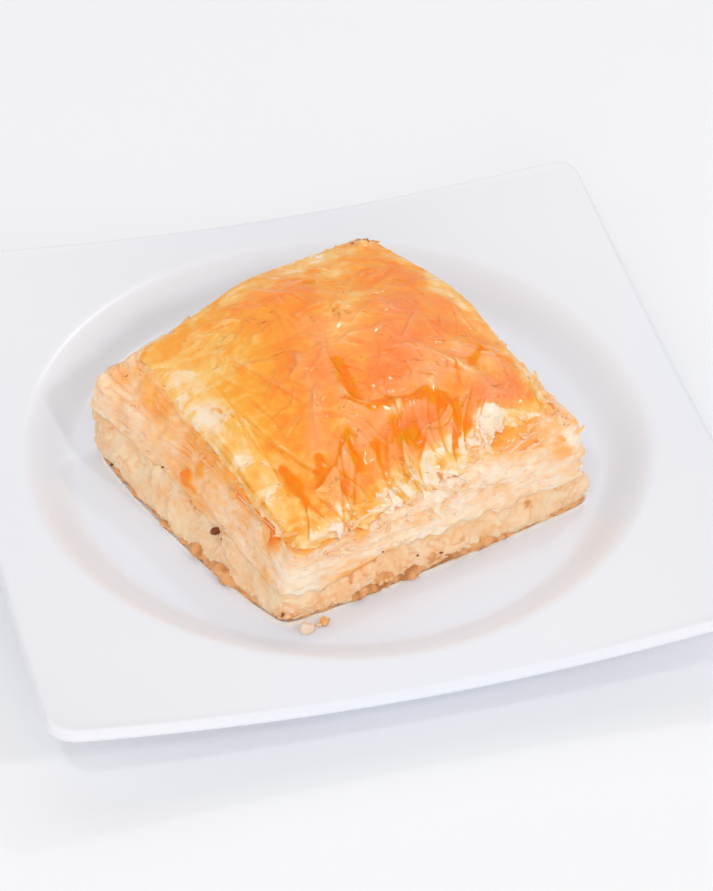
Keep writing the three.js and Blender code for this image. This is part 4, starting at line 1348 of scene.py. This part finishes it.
# The crumbs on the plate: place, size and bake.
CRUMBS = (
    ((-27.6, -70.9, 10.4), 4.8, 0.1),
    ((-22.2, -69.2, 10.2), 3.4, 0.75),
    ((-23.8, -70.0, 9.6), 1.6, 0.5),
    ((-25.5, -69.4, 9.5), 1.4, 0.2),
    ((-20.4, -68.2, 9.4), 0.9, 0.6),
)

# The dark flecks on the near sides, in the same form.
FLECKS = (
    ((-46.4, -34.0, 19.7), 4.2, 0.7),
    ((-45.0, -36.5, 18.2), 0.9, 0.4),
    ((-33.9, -66.8, 13.0), 1.7, 0.8),
    ((-68.8, 10.0, 12.6), 1.3, 1.0),
    ((9.6, -56.3, 16.9), 1.1, 0.8),
    ((17.1, -55.2, 15.2), 1.3, 0.6),
    ((-56.6, -9.1, 25.4), 1.2, 0.9),
    ((-1.5, -57.7, 22.3), 0.8, 0.9),
    ((-44.5, -38.5, 16.5), 0.9, 0.7),
)


class MESH_OT_borek_bits(bpy.types.Operator):
    """Build the crumbs and the nut flecks"""

    bl_idname = "mesh.borek_bits"
    bl_label = "Crumbs and flecks"

    def execute(self, context):
        """Crumbs are cut by three planes each, and nut flecks by nine."""
        colours = context.scene.borek_colours
        crumb = browned("pastry_crumb", colours.cream, colours.gold, 2.0)
        nut = browned("toasted_nut", colours.crease, colours.burnt, 2.5)
        for name, bits, seed, facets, finish, slot in (
            ("crumbs", CRUMBS, 81, 3, crumb, "glazed_pastry"),
            ("nut_flecks", FLECKS, 83, 9, nut, "browned_pastry"),
        ):
            places, sizes, bakes = zip(*bits)
            piece(name, *bodies(chips(places, sizes, seed, facets), bakes), finish, slot, ("bake",))
        return {"FINISHED"}


# The film's cross-section: shares of its reach out from the base, and of its thickness.
FILM_PROFILE = (
    (-1.5, -0.3), (1.0, -0.3), (0.97, 0.25), (0.85, 0.5), (0.6, 0.75), (0.25, 1.0), (0.0, 1.5), (-1.5, 2.0),
)


class MESH_OT_borek_syrup(bpy.types.Operator):
    """Build the film of syrup round the base"""

    bl_idname = "mesh.borek_syrup"
    bl_label = "Syrup film"

    def execute(self, context):
        """A ring round the base: from under its edge out by noise of 14 and 4 mm, thick at the base
        and rounded to nothing at its rim."""
        film = context.scene.borek_sizes.film / MM
        angle = outline_angles(200)
        out, way, _ = on_level(BASE, angle)
        place = placed(out, way, 0 * angle)
        reach = 0.4 + 0.9 * noise(place, 14, 91) + 0.4 * noise(place, 4, 92)
        reach = np.maximum(reach, 0.05) * station((0.2, 0.3, 0.3, 0.3, 0.3, 0.5, 0.6, 0.25), angle)
        rows = [placed(out + across * reach, way, film * thick) for across, thick in FILM_PROFILE]
        finish = syrup_finish(context.scene.borek_colours)
        piece("syrup_film", *loops(np.stack(rows)), finish, "glazed_pastry")
        return {"FINISHED"}


# The stage's lamps: place in metres, size in metres and power in watts.
LAMPS = {
    "window": ((0.1, 0.7, 1.1), 1.2, 3.6),
    "window_left": ((-0.7, 0.8, 1.0), 0.8, 1.1),
    "front": ((-0.3, -1.1, 0.9), 1.2, 2.5),
    "front_low": ((-0.25, -1.37, 0.4), 1.0, 4.1),
    "front_right": ((0.7, -0.9, 1.0), 0.16, 3.2),
    "sparkle": ((0.5, 0.5, 0.9), 0.08, 0.9),
    "glint": ((-0.4, -0.5, 1.1), 0.1, 1.5),
    "right": ((1.2, 0, 0.8), 0.8, 1.2),
    "left": ((-1.2, -0.2, 0.8), 0.8, 1.5),
}
LAMP_AIM = (0, 0, 0.03)

# The camera: place and aim in metres, roll in degrees, lens and sensor width in mm.
EYE = (-0.1841, -0.6994, 0.6553)
AIM = (0.00959, 0.01372, 0)
ROLL = 0.603
LENS = 127.21
SENSOR = 36

# Half the floor's width, in metres.
FLOOR_HALF = 3


class SCENE_OT_borek_stage(bpy.types.Operator):
    """Build the floor, the lights and the camera"""

    bl_idname = "scene.borek_stage"
    bl_label = "Stage"

    def execute(self, context):
        """The camera's axes are its view, the level line across it and their cross product, the last
        two turned about the first by the roll."""
        scene, stage = context.scene, context.scene.borek_stage
        mesh = bpy.data.meshes.new("floor")
        corners = ((-1, -1), (1, -1), (1, 1), (-1, 1))
        mesh.from_pydata([(FLOOR_HALF * x, FLOOR_HALF * y, 0) for x, y in corners], [], [(0, 1, 2, 3)])
        mesh.materials.append(studio_board(scene.borek_colours, stage.glow))
        floor = bpy.data.objects.new("floor", mesh)
        scene.collection.objects.link(floor)
        for name, (place, size, power) in LAMPS.items():
            lamp = bpy.data.lights.new(name, "AREA")
            lamp.size, lamp.energy = size, power * stage.lights
            thing = bpy.data.objects.new(name, lamp)
            thing.location = place
            thing.rotation_euler = (Vector(LAMP_AIM) - Vector(place)).to_track_quat("-Z", "Y").to_euler()
            thing.visible_camera, thing.visible_glossy = False, size < 0.5
            scene.collection.objects.link(thing)
        world = bpy.data.worlds.new("white_room")
        world.use_nodes = True
        backdrop = world.node_tree.nodes["Background"]
        backdrop.inputs["Color"].default_value = (1, 1, 1, 1)
        backdrop.inputs["Strength"].default_value = stage.room
        scene.world = world
        scene.view_settings.view_transform = "Standard"
        eye = Vector(EYE)
        forward = (Vector(AIM) - eye).normalized()
        right = forward.cross(Vector((0, 0, 1))).normalized()
        up = right.cross(forward)
        c, s = np.cos(np.radians(ROLL)), np.sin(np.radians(ROLL))
        right, up = right * c + up * s, up * c - right * s
        lens = bpy.data.cameras.new("camera")
        lens.lens, lens.sensor_width = LENS, SENSOR
        camera = bpy.data.objects.new("camera", lens)
        camera.matrix_world = Matrix.Translation(eye) @ Matrix((right, up, -forward)).transposed().to_4x4()
        scene.collection.objects.link(camera)
        scene.camera = camera
        return {"FINISHED"}


class VIEW3D_PT_borek(bpy.types.Panel):
    """The sizes, the colours, the light and a button for each operator"""

    bl_label = "Custard borek"
    bl_idname = "VIEW3D_PT_borek"
    bl_space_type = "VIEW_3D"
    bl_region_type = "UI"
    bl_category = "Borek"

    def draw(self, context):
        for name, kind in GROUPS.items():
            for key in kind.__annotations__:
                self.layout.prop(getattr(context.scene, name), key)
        for operator in OPERATORS:
            self.layout.operator(operator.bl_idname)


OPERATORS = (
    MESH_OT_borek_plate, MESH_OT_borek_base, MESH_OT_borek_custard, MESH_OT_borek_sheets, MESH_OT_borek_top,
    MESH_OT_borek_leaves, MESH_OT_borek_bits, MESH_OT_borek_syrup, SCENE_OT_borek_stage,
)
GROUPS = {"borek_sizes": BorekSizes, "borek_colours": BorekColours, "borek_stage": BorekStage}


def register():
    """Registers the classes and gives the scene its property groups."""
    for kind in (*GROUPS.values(), *OPERATORS, VIEW3D_PT_borek):
        bpy.utils.register_class(kind)
    for name, group in GROUPS.items():
        setattr(bpy.types.Scene, name, bpy.props.PointerProperty(type=group))


def unregister():
    """Takes away what register gave, in the opposite order."""
    for name in GROUPS:
        delattr(bpy.types.Scene, name)
    for kind in (VIEW3D_PT_borek, *reversed(OPERATORS), *GROUPS.values()):
        bpy.utils.unregister_class(kind)


def main():
    register()
    for operator in OPERATORS:
        area, name = operator.bl_idname.split(".")
        getattr(getattr(bpy.ops, area), name)()


if __name__ == "__main__":
    main()
